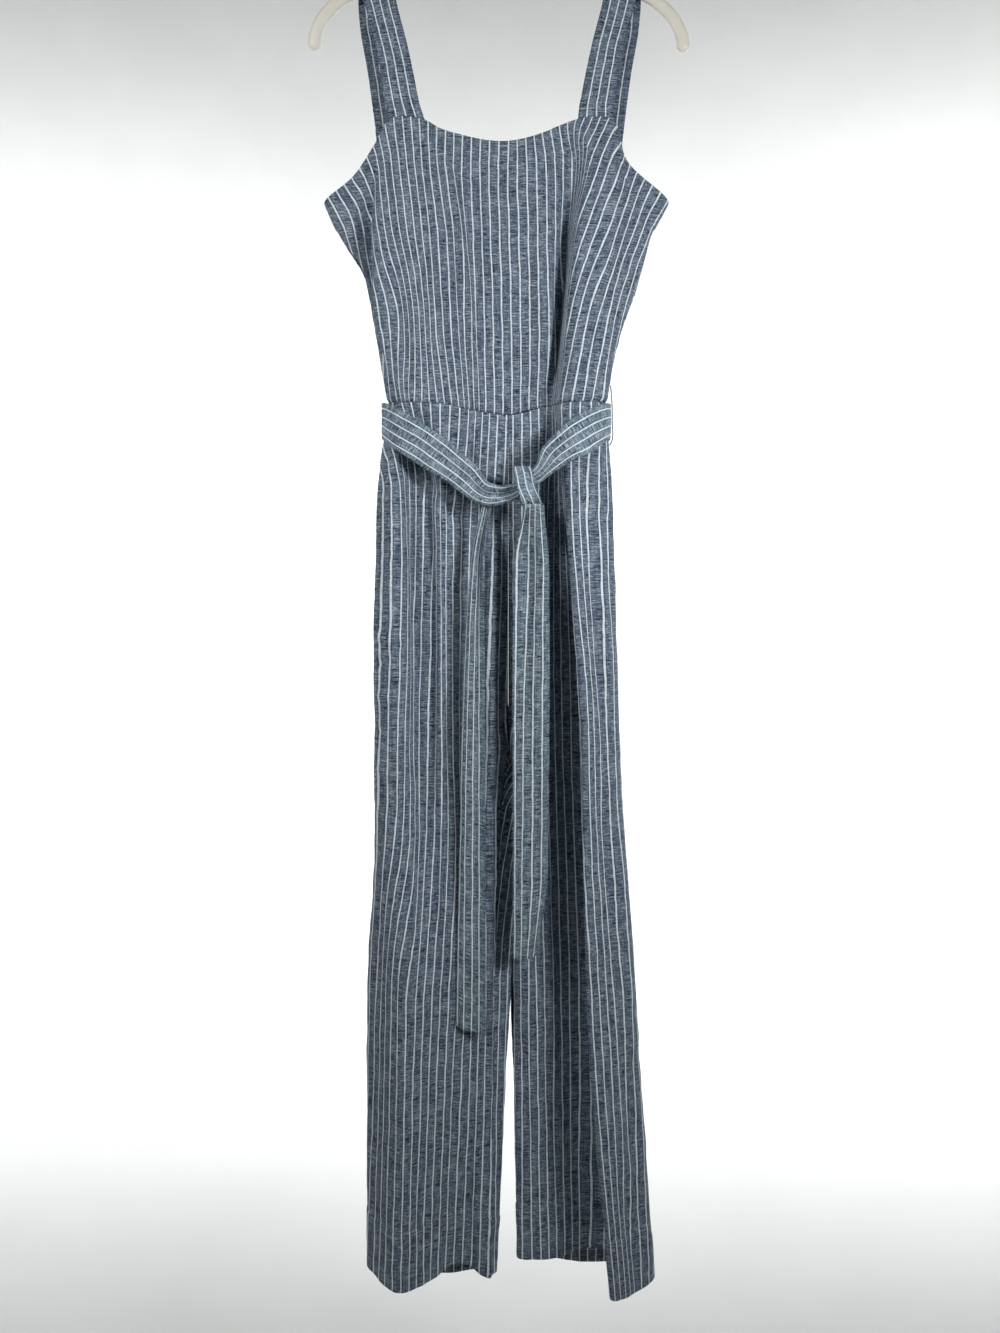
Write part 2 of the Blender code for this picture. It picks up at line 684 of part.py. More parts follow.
def build_garment():
    cloth = ((0.20, 0.25, 0.34), 0.9, 0.0)
    band = ((0.22, 0.27, 0.36), 0.9, 0.0)
    thread = ((0.55, 0.60, 0.70), 0.8, 0.0)

    panels = (
        ("trouser_front_left", leg_grid(LEFT_LEG_FRONT, WAIST_FRONT, True, True)),
        ("trouser_front_right", leg_grid(RIGHT_LEG_FRONT, WAIST_FRONT, False, True)),
        ("trouser_back_left", leg_grid(LEFT_LEG_BACK, WAIST_BACK, False, False)),
        ("trouser_back_right", leg_grid(RIGHT_LEG_BACK, WAIST_BACK, True, False)),
        ("bodice_front", bodice_grid(BODICE_FRONT, WAIST_FRONT, True)),
        ("bodice_back", bodice_grid(BODICE_BACK, WAIST_BACK, False)),
    )
    for name, (grid, end_ways) in panels:
        cloth_solid(name, grid, CLOTH_WALL, cloth, end_ways)

    # each strap starts on the bodice's own top edge
    top_edge = dict(panels)["bodice_front"][0][0]
    names = [line[0] for line in BODICE_FRONT]
    for name, path, edge_line in (
            ("strap_left", STRAP_PATH, "strap_outer_left"),
            ("strap_right", mirrored(STRAP_PATH, -1.0), "flap_lip")):
        grid = band_grid(path, STRAP_ROWS_PER_STEP, BODICE_FRONT_SPAN, cross_way=(1, 0, 0))
        first = names.index(edge_line) * BODICE_FRONT_SPAN
        for c in range(BODICE_FRONT_SPAN + 1):
            grid[0][c] = top_edge[first + c] + Vector((0, 0, SEAM_GAP))
        cloth_solid(name, grid, STRAP_WALL, band)

    forward = Vector((0, -1, 0))
    cloth_solid("belt_left", band_grid(BELT_LEFT, BELT_ROWS_PER_STEP, BAND_COLUMNS,
                                       start_way=forward), BELT_WALL, band)
    cloth_solid("belt_right", band_grid(BELT_RIGHT, BELT_ROWS_PER_STEP, BAND_COLUMNS,
                                        end_way=-forward), BELT_WALL, band)
    cloth_solid("belt_back", band_grid(BELT_BACK, BELT_ROWS_PER_STEP, BELT_BACK_COLUMNS,
                                       start_way=-forward, end_way=forward), BELT_WALL, band)
    ring_band("belt_knot", band_grid(KNOT_WRAP, WRAP_ROWS_PER_STEP, BAND_COLUMNS,
                                     closed=True, cross_way=(1, 0, 0)), BELT_WALL, band)
    cloth_solid("belt_tail_long", tail_grid(TAIL_LONG_FOLDS, TAIL_LONG_TOP_Z), BELT_WALL, band)
    cloth_solid("belt_tail_short", tail_grid(TAIL_SHORT_FOLDS, TAIL_SHORT_TOP_Z),
                BELT_WALL, band)

    loop = smooth_line([Vector(row[1:4]) for row in THREAD_LOOP], LOOP_ROWS_PER_STEP)
    radius = THREAD_LOOP_RADIUS
    tube_solid("belt_loop_right", loop, [(radius, radius)] * len(loop), LOOP_SIDES, thread)


def main():
    for item in list(bpy.data.objects):
        bpy.data.objects.remove(item, do_unlink=True)
    build_hanger()
    build_garment()


main()
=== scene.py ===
"""Looks of the sleeveless striped jumpsuit that hangs on its hanger.

Every piece of cloth is a thin shell on its solid's own form, sampled more
finely, with the creases, seams, hems and facing on it.  Each point of a shell
also knows its place in the flat cloth, so that the woven stripes follow it.
Tables are in millimetres; MM makes metres.
"""
import math

import bpy
import numpy as np
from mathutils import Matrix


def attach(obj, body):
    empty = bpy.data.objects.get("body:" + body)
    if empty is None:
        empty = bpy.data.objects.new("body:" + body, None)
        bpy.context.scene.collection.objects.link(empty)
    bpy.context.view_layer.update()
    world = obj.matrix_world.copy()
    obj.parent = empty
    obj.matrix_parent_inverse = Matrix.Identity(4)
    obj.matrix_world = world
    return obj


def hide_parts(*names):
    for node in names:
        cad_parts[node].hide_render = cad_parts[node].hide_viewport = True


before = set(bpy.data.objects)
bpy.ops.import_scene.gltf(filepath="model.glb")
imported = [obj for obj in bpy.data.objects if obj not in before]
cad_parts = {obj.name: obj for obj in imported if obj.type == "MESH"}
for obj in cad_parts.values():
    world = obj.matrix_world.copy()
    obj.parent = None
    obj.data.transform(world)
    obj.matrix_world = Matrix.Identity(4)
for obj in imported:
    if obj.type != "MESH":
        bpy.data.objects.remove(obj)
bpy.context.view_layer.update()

MM = 0.001

# ---------------------------------------------------------------- sizes (mm)
SEAM_GAP = 0.5          # clear space between two pieces at a seam
CROTCH_SHARE = 0.35     # how far down the leg the centre seam ends
CROTCH_TURN = (CROTCH_SHARE - 0.005, CROTCH_SHARE + 0.02)
STRIPE_PITCH = 9.8
CLOTH_WALL = 0.9
HEM_WALL = 1.7          # the turned-up hem is two layers
BAND_WALL = 1.7         # straps and belt are two layers
HEM_DEPTH = 70.0        # stitch line above the leg's edge
FACING_DEPTH = 33.0     # facing inside the neck and armholes

STRAP_CLOTH_WIDTH = 37
BELT_CLOTH_WIDTH = 40
BELT_BACK_CLOTH_WIDTH = 39
KNOT_CLOTH_WIDTH = 24
# place of a band's first edge across the cloth; stripes lie at whole pitches
STRAP_FIRST_STRIPE = 1.0
BELT_FIRST_STRIPE = -4.9
KNOT_FIRST_STRIPE = -3.0
TAIL_FIRST_STRIPE = -2.5

# how far the upper, lower, first and last edges of each kind of piece are rounded out
LEG_RIMS = (0.15, 0.6, 0.1, 0.1)
BODICE_RIMS = (0.5, 0.15, 0.1, 0.1)
STRAP_RIMS = (0.1, 0.15, 0.6, 0.6)
BELT_RIMS = (0.2, 0.2, 0.6, 0.6)
KNOT_RIMS = (0, 0, 0.6, 0.6)
TAIL_RIMS = (0.2, 0.8, 0.6, 0.6)

HOOK_WIRE_RADIUS = 2.0
HOOK_INNER_RADIUS = 15.0
HOOK_COLLAR_RADIUS = 5.5
HANGER_ARM_HEIGHT = 14.0
HANGER_ARM_DEPTH = 8.0
HANGER_TIP = 6.5        # length over which the arms' ends are rounded
HANGER_TIP_LEAST = 0.05
# height from the collar's foot or top, and share of the collar's or wire's radius
COLLAR_FOOT = ((0.0, 0.96), (0.6, 1.0))
COLLAR_SHOULDER = ((-2.2, 1.0), (-1.2, 0.9), (-0.5, 0.6))
STEM_FOOT = ((0.0, 1.1), (3.0, 1.0))
# x and z of the hook's lower bend from the middle of its round part
HOOK_BEND = ((0.3, -38.0), (1.2, -31.0), (4.4, -24.5), (10.5, -16.5))
HOOK_DEGREES = (-25, 206, 5)            # start, stop and step round it
HOOK_TIP = (0.5, -1.2, 0.7)             # x and z from the round part, share of radius

# ------------------------------------------------- waist seam, front and back
# x, y, z along the seam from the side at -X to the side at +X
WAIST_FRONT = (
    (-127, 2, -575),
    (-119, -18, -578),
    (-102, -24, -579),
    (-70, -27, -580),
    (-42, -22, -585),
    (-18, -19, -589),
    (9.5, -12, -591),
    (33, -15, -587),
    (50, -11, -582),
    (60, -16, -581),
    (68, -34, -581),
    (90, -41, -581),
    (112, -24, -579),
    (120, 2, -575),
)
WAIST_BACK = (
    (-127, 2, -575),
    (-119, 12, -578),
    (-90, 14, -583),
    (-50, 15, -586),
    (9.5, 13, -588),
    (60, 14, -586),
    (98, 13, -582),
    (114, 11, -578),
    (120, 2, -575),
)

# ------------------------------------------------------------- trouser folds
# A row for each fold line, from the waist to the hem.  x and y are given at
# the seat, the crotch, the thigh, the knee and the hem; the waist takes its y
# from the waist seam.
LEG_PLACES = ("waist", "seat", "crotch", "thigh", "knee", "hem")
LEG_STATIONS = (0.0, 0.095, CROTCH_SHARE, 0.45, 0.67, 1.0)
LEG_COLUMNS = (
    "line", "waist_x", "seat_x", "seat_y", "crotch_x", "crotch_y",
    "thigh_x", "thigh_y", "knee_x", "knee_y", "hem_x", "hem_y", "hem_z",
)
LEFT_LEG_SIDE = ("side", -127, -136, 3, -142, 4, -142, 4, -154, 8, -158, 6, -1592)
RIGHT_LEG_SIDE = ("side", 120, 125, 3, 135, 4, 141, 4, 158, 6, 178, 4, -1597)
LEFT_LEG_FRONT = (
    LEFT_LEG_SIDE,
    ("edge", -125, -137, -12, -144, -14, -144, -13, -155, -9, -159, -12, -1593),
    ("edge_front", -115, -129, -22, -136, -28, -137, -28, -142, -22, -148, -28, -1594),
    ("outer_ridge", -108, -121, -28, -121, -33, -118, -34, -115, -45, -121, -52, -1599),
    ("outer_valley", -93, -97, -12, -92, -9, -90, -10, -83, -34, -78, -29, -1598),
    ("mid_ridge", -68, -67, -26, -63, -22, -60, -22, -52, -28, -56, -14, -1592),
    ("mid_valley", -38, -33, -12, -24, -2, -27, -2, -33, -16, -38, -14, -1592),
    ("inner_ridge", -9, -6, -20, -11, -16, -15, -16, -18, -12, -19, -20, -1602),
    ("centre", 9.5, 9.5, -8, 9.5, 1, 1, -4, -8, -8, -12, -22, -1602),
)
LEFT_LEG_BACK = (
    ("centre", 9.5, 9.5, 14, 9.5, 4, 1, -4, -8, -8, -12, -22, -1602),
    ("inseam_turn", 1, 1, 14, 8, 11, 16, 10, 10.5, 4, -5, -8, -1604),
    ("inner_back", -14, -16, 16, -16, 17, -10, 17, -19, 14, -22, 10, -1614),
    ("centre_back", -52, -55, 14, -59, 20, -62, 21, -65, 21, -67, 16, -1624),
    ("outer_back", -92, -100, 19, -106, 16, -109, 16, -113, 20, -116, 18, -1618),
    ("back_edge", -119, -130, 14, -135, 16, -136, 16, -146, 19, -152, 16, -1600),
    LEFT_LEG_SIDE,
)
RIGHT_LEG_FRONT = (
    ("centre", 9.5, 9.5, -8, 9.5, 1, 19.5, 5, 15.5, 5, 22, 3, -1593),
    ("inner_ridge", 25, 26, -15, 28, -12, 31, -8, 32, -6, 41, -4, -1592),
    ("recess_lip", 46, 46, -10, 47, -4, 49, -2, 57, 2, 68, 2, -1595),
    ("recess_floor", 57, 60, 5, 66, 12, 68, 12, 84, 13, 103, 12, -1588),
    ("recess_back", 61, 76, 5, 103, 12, 107, 12, 114, 13, 137, 9, -1590),
    ("flap_lip", 66, 69, -44, 92, -49, 95, -50, 102, -53, 131, -59, -1604),
    ("flap_middle", 92, 94, -43, 113, -40, 117, -40, 129, -43, 158, -47, -1602),
    ("edge", 117, 126, -13, 136, -16, 141, -16, 158, -18, 181, -30, -1599),
    RIGHT_LEG_SIDE,
)
RIGHT_LEG_BACK = (
    RIGHT_LEG_SIDE,
    ("back_edge", 114, 120, 14, 131, 17, 137, 18, 153, 19, 171, 17, -1605),
    ("outer_back", 96, 104, 17, 116, 25, 120, 26, 128, 27, 143, 24, -1614),
    ("centre_back", 69, 72, 22, 84, 29, 87, 30, 92, 31, 101, 27, -1617),
    ("inner_back", 41, 44, 18, 45, 23, 46, 25, 45, 24, 52, 22, -1607),
    ("inseam_turn", 23, 22, 14, 19, 12, 22, 15, 20, 14, 26, 14, -1598),
    ("centre", 9.5, 9.5, 14, 9.5, 4, 19.5, 5, 15.5, 5, 22, 3, -1593),
)

# ------------------------------------------------------------- bodice folds
# A row for each fold line, from its place on the top edge (top_z) down to the
# waist seam, which gives the last y and z.
BODICE_PLACES = ("top", "chest", "bust", "rib", "waist")
BODICE_STATIONS = (0.0, 0.15, 0.40, 0.70, 1.0)
BODICE_COLUMNS = (
    "line", "top_z", "top_x", "top_y", "chest_x", "chest_y",
    "bust_x", "bust_y", "rib_x", "rib_y", "waist_x",
)
BODICE_LEFT_SIDE = ("side_left", -358, -194, -2, -180, -2, -149, -2, -138, 0, -127)
BODICE_RIGHT_SIDE = ("side_right", -358, 186, -2, 169, -3, 154, -4, 132, -2, 120)
BODICE_FRONT = (
    BODICE_LEFT_SIDE,
    ("wing_left", -331, -161, -8, -153, -9, -140, -8, -133, -13, -122),
    ("wing_fold", -300, -138, -10, -139, -17, -143, -24, -136, -22, -112),
    ("strap_outer_left", -273, -121, -10, -119, -17, -117, -28, -112, -27, -97),
    ("strap_inner_left", -274, -83, -13, -82, -21, -76, -30, -72, -28, -71),
    ("ridge_left", -284, -65, -14, -60, -26, -51, -33, -45, -32, -42),
    ("valley_left", -288.5, -48, -13, -42, -19, -33, -23, -26, -23, -20),
    ("centre", -297, 9.5, -14, 9.5, -25, 9.5, -30, 9.5, -25, 9.5),
    ("ridge_right", -289, 44, -13, 54, -26, 58, -32, 54, -29, 45),
    ("valley_right", -279, 68, -12, 80, -16, 74, -13, 67, -8, 57),
    ("flap_lip", -273, 86, -12, 97, -26, 84, -34, 74, -38, 67),
    ("flap_middle", -273, 123, -10, 121, -24, 111, -35, 98, -42, 89),
    ("wing_right", -312, 137, -9, 141, -17, 132, -25, 119, -31, 108),
    BODICE_RIGHT_SIDE,
)
BODICE_BACK = (
    BODICE_RIGHT_SIDE,
    ("edge_right", -355, 172, 5, 157, 8, 142, 9, 124, 9, 114),
    ("fold_right", -351, 118, 9, 112, 13, 106, 16, 101, 15, 98),
    ("flat_right", -350, 70, 9, 68, 10, 66, 12, 63, 12, 60),
    ("centre", -350, 9.5, 9, 9.5, 12, 9.5, 15, 9.5, 14, 9.5),
    ("flat_left", -350, -56, 9, -54, 10, -53, 12, -51, 12, -50),
    ("fold_left", -351, -118, 9, -109, 13, -100, 16, -93, 15, -90),
    ("edge_left", -355, -178, 5, -163, 7, -140, 9, -130, 9, -119),
    BODICE_LEFT_SIDE,
)

# ------------------------------------------------------------------- straps
# A strap's centre line from the bodice front, over the hanger arm and down to
# the back edge: x, y, z, width, and rise across it where it lies on the arm.
STRAP_PATH = (
    ("front_seam", -104.0, -11.4, -271.8, 37, 0.0),
    ("front_low", -110.0, -11.0, -240.0, 36, 0.0),
    ("front_mid", -118.5, -10.0, -195.0, 34, 0.04),
    ("front_high", -129.0, -8.6, -155.0, 33, 0.20),
    ("front_top", -134.0, -8.0, -131.0, 33, 0.45),
    ("front_bend", -136.0, -5.6, -118.8, 33, 0.46),
    ("over_arm", -137.5, 0.0, -113.6, 33, 0.46),
    ("back_bend", -139.0, 5.6, -120.2, 33, 0.46),
    ("back_top", -139.5, 8.0, -133.5, 33, 0.45),
    ("back_high", -138.5, 8.4, -155.0, 33, 0.20),
    ("back_mid", -129.0, 8.8, -215.0, 34, 0.04),
    ("back_low", -120.0, 8.8, -280.0, 36, 0.0),
    ("back_edge", -113.0, 9.0, -349.6, 38, 0.0),
)

# --------------------------------------------------------------------- belt
# Centre line of each stretch: x, y, z and width.
BELT_LEFT = (
    ("side", -133.2, 1.0, -596.0, 38),
    ("turn", -129.0, -16.0, -599.0, 39),
    ("hip", -112.0, -33.0, -611.0, 40),
    ("front", -75.0, -38.0, -635.0, 39),
    ("fold", -40.0, -41.0, -661.0, 33),
    ("twist", -14.0, -43.5, -682.0, 25),
    ("into_knot", 7.0, -46.0, -682.0, 19),
    ("inside_knot", 25.0, -50.0, -675.0, 13),
)
BELT_RIGHT = (
    ("inside_knot", 29.0, -50.0, -669.0, 12),
    ("out_of_knot", 42.0, -51.0, -660.6, 17),
    ("front", 62.0, -54.0, -638.0, 32),
    ("hip", 88.0, -54.0, -620.0, 40),
    ("turn", 110.0, -40.0, -606.0, 39),
    ("edge", 121.5, -18.0, -599.0, 38),
    ("side", 124.6, 1.0, -597.5, 38),
)
BELT_BACK = (
    ("side_right", 124.6, 1.5, -597.5, 38),
    ("turn_right", 121.0, 14.0, -598.0, 38),
    ("back_right", 108.0, 20.5, -599.0, 39),
    ("middle_right", 60.0, 24.0, -600.0, 39),
    ("centre", 0.0, 24.0, -600.0, 39),
    ("middle_left", -60.0, 23.0, -599.0, 39),
    ("back_left", -110.0, 23.0, -598.0, 39),
    ("turn_left", -130.0, 15.5, -597.0, 38),
    ("side_left", -133.2, 1.5, -596.0, 38),
)
# Knot: a wrap of the belt around both stretches, then the two tails.
KNOT_WRAP = (
    ("top", 23.5, -50.5, -653.0, 18),
    ("front_high", 25.0, -60.5, -661.0, 19),
    ("front", 28.0, -62.5, -676.0, 19),
    ("front_low", 34.5, -61.5, -691.0, 20),
    ("bottom", 37.0, -54.0, -698.0, 20),
    ("back_low", 32.5, -42.0, -692.0, 19),
    ("back", 27.5, -37.5, -676.0, 19),
    ("back_high", 24.5, -40.5, -661.0, 18),
)
TAIL_LONG_FOLDS = (
    ("inner_edge", 27, -54, 15, -42, 14.5, -38, 15, -35, 15, -33, -1208),
    ("inner_fold", 33, -59, 33, -42, 28, -37, 26, -36, 25, -34, -1208),
    ("outer_fold", 40, -60, 43, -51, 42, -43, 42, -38, 35, -35, -1207),
    ("outer_edge", 47, -56, 53.5, -46, 55, -40, 54, -37, 43, -34, -1203),
)
TAIL_SHORT_FOLDS = (
    ("outer_edge", -18, -40.2, -32, -34, -42, -34, -48, -31, -51, -30, -1288),
    ("outer_fold", -15, -41.0, -28.5, -39, -36, -38, -40, -35, -41, -33, -1293),
    ("inner_fold", -12, -39.0, -24, -31, -27, -33, -28, -31, -29, -30, -1297),
    ("inner_edge", -8, -41.5, -18.5, -37, -17, -37, -17, -34, -17, -32, -1300),
)
TAIL_PLACES = ("top", "upper", "mid", "low", "end")
TAIL_STATIONS = (0.0, 0.12, 0.40, 0.80, 1.0)
TAIL_COLUMNS = (
    "line", "top_x", "top_y", "upper_x", "upper_y", "mid_x", "mid_y",
    "low_x", "low_y", "end_x", "end_y", "end_z",
)
TAIL_LONG_TOP_Z = -699.8
TAIL_SHORT_TOP_Z = -686.0

# Thread carrier at the side seam: x, y, z from its upper end to its lower end
THREAD_LOOP = (
    ("upper_end", 124.9, 1.0, -556.0),
    ("out", 126.0, 0.6, -566.0),
    ("beside_belt", 127.2, 0.4, -597.0),
    ("in", 127.0, 0.6, -617.5),
    ("lower_end", 124.6, 1.0, -623.0),
)
THREAD_LOOP_RADIUS = 0.8
PLY_RADIUS = 0.62 * THREAD_LOOP_RADIUS
PLY_PITCH = 3.2         # one full turn of the two plies

# Hanger arm from the left tip over the neck to the right tip: x, z
HANGER_PATH = (
    ("tip_left", -204.5, -194.0),
    ("hook_left", -203.8, -181.0),
    ("bend_left", -197.0, -164.0),
    ("rise_left", -182.0, -147.0),
    ("arm_left", -130.0, -121.5),
    ("shoulder_left", -62.0, -93.0),
    ("crest", 0.0, -76.0),
    ("shoulder_right", 62.0, -93.0),
    ("arm_right", 130.0, -121.5),
    ("rise_right", 176.0, -147.0),
    ("bend_right", 192.5, -164.0),
    ("hook_right", 200.5, -182.0),
    ("tip_right", 201.5, -196.0),
)
HOOK_STEM_FOOT_Z = -68.4
HOOK_COLLAR_TOP_Z = -58.0

# ------------------------------------------------ how finely it is sampled
LEG_ROWS = 330
LEG_SPAN = 10
BODICE_ROWS = 120
BODICE_SPAN = 18
BACK_SPAN = 12
BAND_STEP = 14
BAND_COLUMNS = 16
TAIL_ROWS = 150
TAIL_SPAN = 8
THREAD_STEP = 40
PLY_SIDES = 7
STITCH_SIDES = 5
HANGER_STEP = 16
HANGER_SIDES = 28
HOOK_BEND_STEP = 6
HOOK_SIDES = 20
CREASE_STEPS = 10

# ---------------------------------------------------- seams, hems and stitches
# each ridge (height > 0) or groove: its height, distance from the edge, half width
SEAM_DIP = (-0.9, 0.0, 2.2)
SEAM_SWELL = (0.35, 6.5, 3.0)
HEM_GROOVE = (-0.7, HEM_DEPTH, 1.8)
HEM_PULLS = (0.5, HEM_DEPTH, 14.0)
NECK_FOLD = (-0.35, 0.0, 2.0)
STRAP_SEAM_DIP = (-0.7, 0.0, 2.2)
STRAP_EDGE_FOLD = (0.35, 0.0, 0.14)     # distances in half widths of the strap

STRAP_SINK = 0.2        # the strap's middle lies lower than its edges
HEM_STEP = (HEM_DEPTH + 1.5, HEM_DEPTH - 2.5)
HEM_SWELL = 0.4         # the hem's two layers stand prouder
HEM_PULL_PITCH = 9.0
HEM_SEED = 7            # of the pulls' noise, beyond the piece's layer
FACING_RISE = 1.2
FACING_RISE_STEP = (FACING_DEPTH - 2, FACING_DEPTH + 2)
FACING_WALL = 0.5       # added to the cloth's wall
FACING_WALL_STEP = (FACING_DEPTH - 3, FACING_DEPTH)
STITCH_PITCH = 3.3
STITCH_LENGTH = 2.2
STITCH_RADIUS = 0.28
STITCH_CLEAR = 0.1
# shares of a stitch's length and radius at its rings
STITCH_RINGS = ((-0.5, 0.35), (-0.3, 1.0), (0.3, 1.0), (0.5, 0.35))

# ------------------------------------------------------------------ creases
# height of the worn cloth's bumps, their width and their length
CRINKLES = ((0.80, 17, 60), (0.62, 9, 26), (0.26, 5, 10))
LEG_CRINKLE = 1.0
BODICE_CRINKLE = 0.8
STRAP_CRINKLE = 0.5
BELT_CRINKLE = 0.4
TAIL_CRINKLE = 0.5
LEG_CALM = 30           # smoother cloth below the waist seam
BODICE_CALM = 25        # and below the bodice's top edge
CREASE_REACH = 3        # half widths beyond which a crease is nothing
CREASE_FADE = 0.6       # power by which it fades towards its ends

# name, x and z of a crease's start, bend and end, its half width, and its
# height: ridges are positive, troughs negative
BODICE_FRONT_CREASES = (
    ("soft_fold", -71, -312, -48, -410, -36, -588, 6.0, -6.0),
    ("soft_fold_lip", -86, -322, -63, -430, -51, -580, 6.0, 2.0),
    ("soft_fold_far", -60, -316, -37, -412, -25, -584, 5.5, 5.0),
    ("right_fold", 80, -318, 62, -420, 56, -580, 4.5, -2.6),
    ("right_fold_lip", 98, -310, 86, -420, 78, -584, 5.5, 2.0),
    ("wing_edge", -138, -336, -150, -398, -141, -454, 3.4, -6.0),
    ("wing_lip", -129, -335, -139, -398, -131, -456, 4.0, 3.9),
    ("wing_under", -160, -396, -150, -420, -142, -446, 4.0, -3.8),
    ("below_facing_left", -70, -326, -45, -332, -20, -331, 3.5, -1.0),
    ("below_facing_mid", -20, -331, 10, -334, 45, -330, 3.5, -1.2),
    ("wing_drag_1", -176, -385, -160, -395, -142, -420, 5.0, 2.6),
    ("wing_drag_2", -165, -352, -156, -385, -143, -410, 4.0, -2.6),
    ("wing_drag_3", -184, -372, -170, -400, -150, -440, 4.0, -2.0),
    ("side_dent_left", -131, -500, -122, -520, -110, -560, 6.0, -4.1),
    ("rib_left", -118, -330, -112, -420, -104, -560, 6.0, -3.2),
    ("rib_left_low", -98, -440, -92, -500, -96, -580, 5.0, 2.6),
    ("rib_left_dip", -84, -400, -80, -480, -84, -582, 5.0, -2.6),
    ("flap_drag_1", 128, -330, 112, -420, 100, -500, 6.0, 2.9),
    ("flap_drag_2", 150, -360, 138, -420, 122, -480, 5.0, -3.8),
    ("flap_drag_3", 160, -340, 146, -400, 130, -430, 5.0, 2.6),
    ("flap_side", 142, -440, 128, -480, 118, -560, 5.0, -3.2),
    ("flap_low", 118, -470, 104, -520, 84, -570, 5.0, -3.5),
    ("flap_low_ridge", 108, -452, 92, -510, 76, -562, 5.0, 2.6),
    ("chest_1", -20, -345, -6, -430, -4, -520, 9.0, 2.0),
    ("chest_2", 34, -345, 30, -430, 36, -540, 8.0, -1.9),
    ("chest_3", 50, -420, 52, -480, 46, -570, 6.0, 1.7),
)
LEG_LEFT_FRONT_CREASES = (
    ("waist_tuck_1", -60, -592, -55, -650, -52, -740, 4.0, -3.9),
    ("waist_tuck_2", -88, -590, -84, -660, -82, -780, 4.5, -4.7),
    ("waist_tuck_3", -30, -600, -34, -650, -40, -720, 4.0, -3.2),
    ("under_belt", -108, -640, -76, -672, -40, -712, 8.0, -3.9),
    ("outer_lip", -112, -640, -107, -800, -108, -1010, 6.0, 5.5),
    ("outer_trough", -82, -620, -79, -800, -80, -1040, 5.5, -7.8),
    ("outer_side_dip", -132, -650, -131, -760, -132, -860, 5.0, -2.3),
    ("mid_flat", -64, -630, -60, -820, -60, -1060, 14.0, -7.0),
    ("outer_high", -120, -640, -117, -800, -116, -1040, 8.0, 3.0),
    ("lip_low", -104, -980, -100, -1150, -100, -1340, 6.5, 3.9),
    ("trough_low", -76, -1010, -70, -1180, -72, -1400, 6.0, -5.5),
    ("centre_dip", -23, -690, -24, -800, -23, -960, 3.0, -4.7),
    ("centre_lip", -12, -680, -13, -800, -14, -980, 5.0, 3.8),
    ("merge_1", -30, -700, -38, -790, -44, -880, 3.5, 3.5),
    ("merge_2", -22, -720, -30, -800, -36, -870, 3.0, -3.2),
    ("merge_3", -34, -760, -40, -860, -42, -980, 3.0, -3.2),
    ("crowd_1", -100, -690, -98, -790, -99, -880, 2.6, -2.3),
    ("crowd_2", -93, -840, -92, -930, -94, -1060, 2.6, -2.3),
    ("edge_bump_1", -140, -838, -128, -842, -112, -852, 5.0, 2.3),
    ("edge_bump_2", -140, -872, -130, -870, -116, -862, 5.0, -2.2),
    ("edge_bump_3", -142, -905, -130, -904, -118, -912, 6.0, 2.2),
    ("edge_bump_4", -142, -950, -130, -945, -120, -938, 6.0, -1.9),
    ("edge_bump_5", -142, -985, -128, -990, -116, -1004, 6.0, 1.7),
    ("long_1", -60, -900, -64, -1050, -60, -1250, 5.0, -3.5),
    ("long_2", -30, -980, -36, -1120, -36, -1300, 5.0, -3.8),
    ("long_3", -52, -1000, -50, -1150, -50, -1330, 6.0, 2.6),
    ("long_4", -52, -1280, -54, -1400, -58, -1560, 6.0, -4.1),
    ("long_5", -26, -1200, -26, -1360, -28, -1540, 5.0, 3.2),
    ("long_6", -118, -1180, -122, -1330, -124, -1500, 6.0, -2.9),
    ("hem_pull_1", -96, -1470, -92, -1520, -90, -1585, 5.0, -2.9),
    ("hem_pull_2", -40, -1480, -36, -1530, -34, -1590, 5.0, -2.9),
)
LEG_RIGHT_FRONT_CREASES = (
    ("recess_deep", 58, -610, 70, -780, 82, -1040, 9.0, -6.0),
    ("flap_over", 68, -606, 94, -780, 100, -1060, 7.0, 3.0),
    ("tail_shadow", 16, -760, 18, -830, 20, -900, 3.5, -1.0),
    ("inner_1", 34, -960, 40, -1120, 44, -1300, 5.0, -3.5),
    ("inner_2", 52, -1080, 60, -1220, 66, -1400, 5.0, 2.9),
    ("inner_3", 26, -1320, 34, -1420, 40, -1560, 5.0, -3.5),
    ("inner_4", 58, -1330, 66, -1450, 74, -1570, 5.0, -3.2),
    ("flap_waist", 84, -600, 92, -660, 98, -740, 5.0, -3.5),
    ("flap_1", 96, -720, 108, -830, 118, -960, 5.0, -3.2),
    ("flap_2", 118, -700, 124, -780, 132, -860, 5.0, -2.9),
    ("flap_ridge", 108, -700, 116, -800, 126, -930, 5.0, 2.6),
    ("flap_3", 112, -1010, 126, -1130, 136, -1270, 6.0, -3.5),
    ("flap_4", 136, -1040, 144, -1160, 156, -1330, 6.0, 2.9),
    ("flap_5", 122, -1260, 138, -1390, 150, -1520, 6.0, 2.9),
    ("flap_6", 140, -1300, 154, -1420, 166, -1540, 6.0, -3.2),
    ("flap_hem", 140, -1460, 148, -1520, 158, -1590, 6.0, -3.2),
)
LEG_BACK_LEFT_CREASES = (
    ("inseam_turn", 15, -900, 14, -1080, -4, -1380, 9.0, 5.0),
    ("seat", -100, -640, -60, -700, -16, -760, 9.0, -2.6),
    ("thigh", -110, -900, -104, -1050, -100, -1240, 7.0, -2.6),
    ("knee", -60, -1000, -56, -1100, -50, -1260, 8.0, 1.9),
    ("calf", -84, -1260, -90, -1380, -96, -1560, 7.0, -2.2),
)
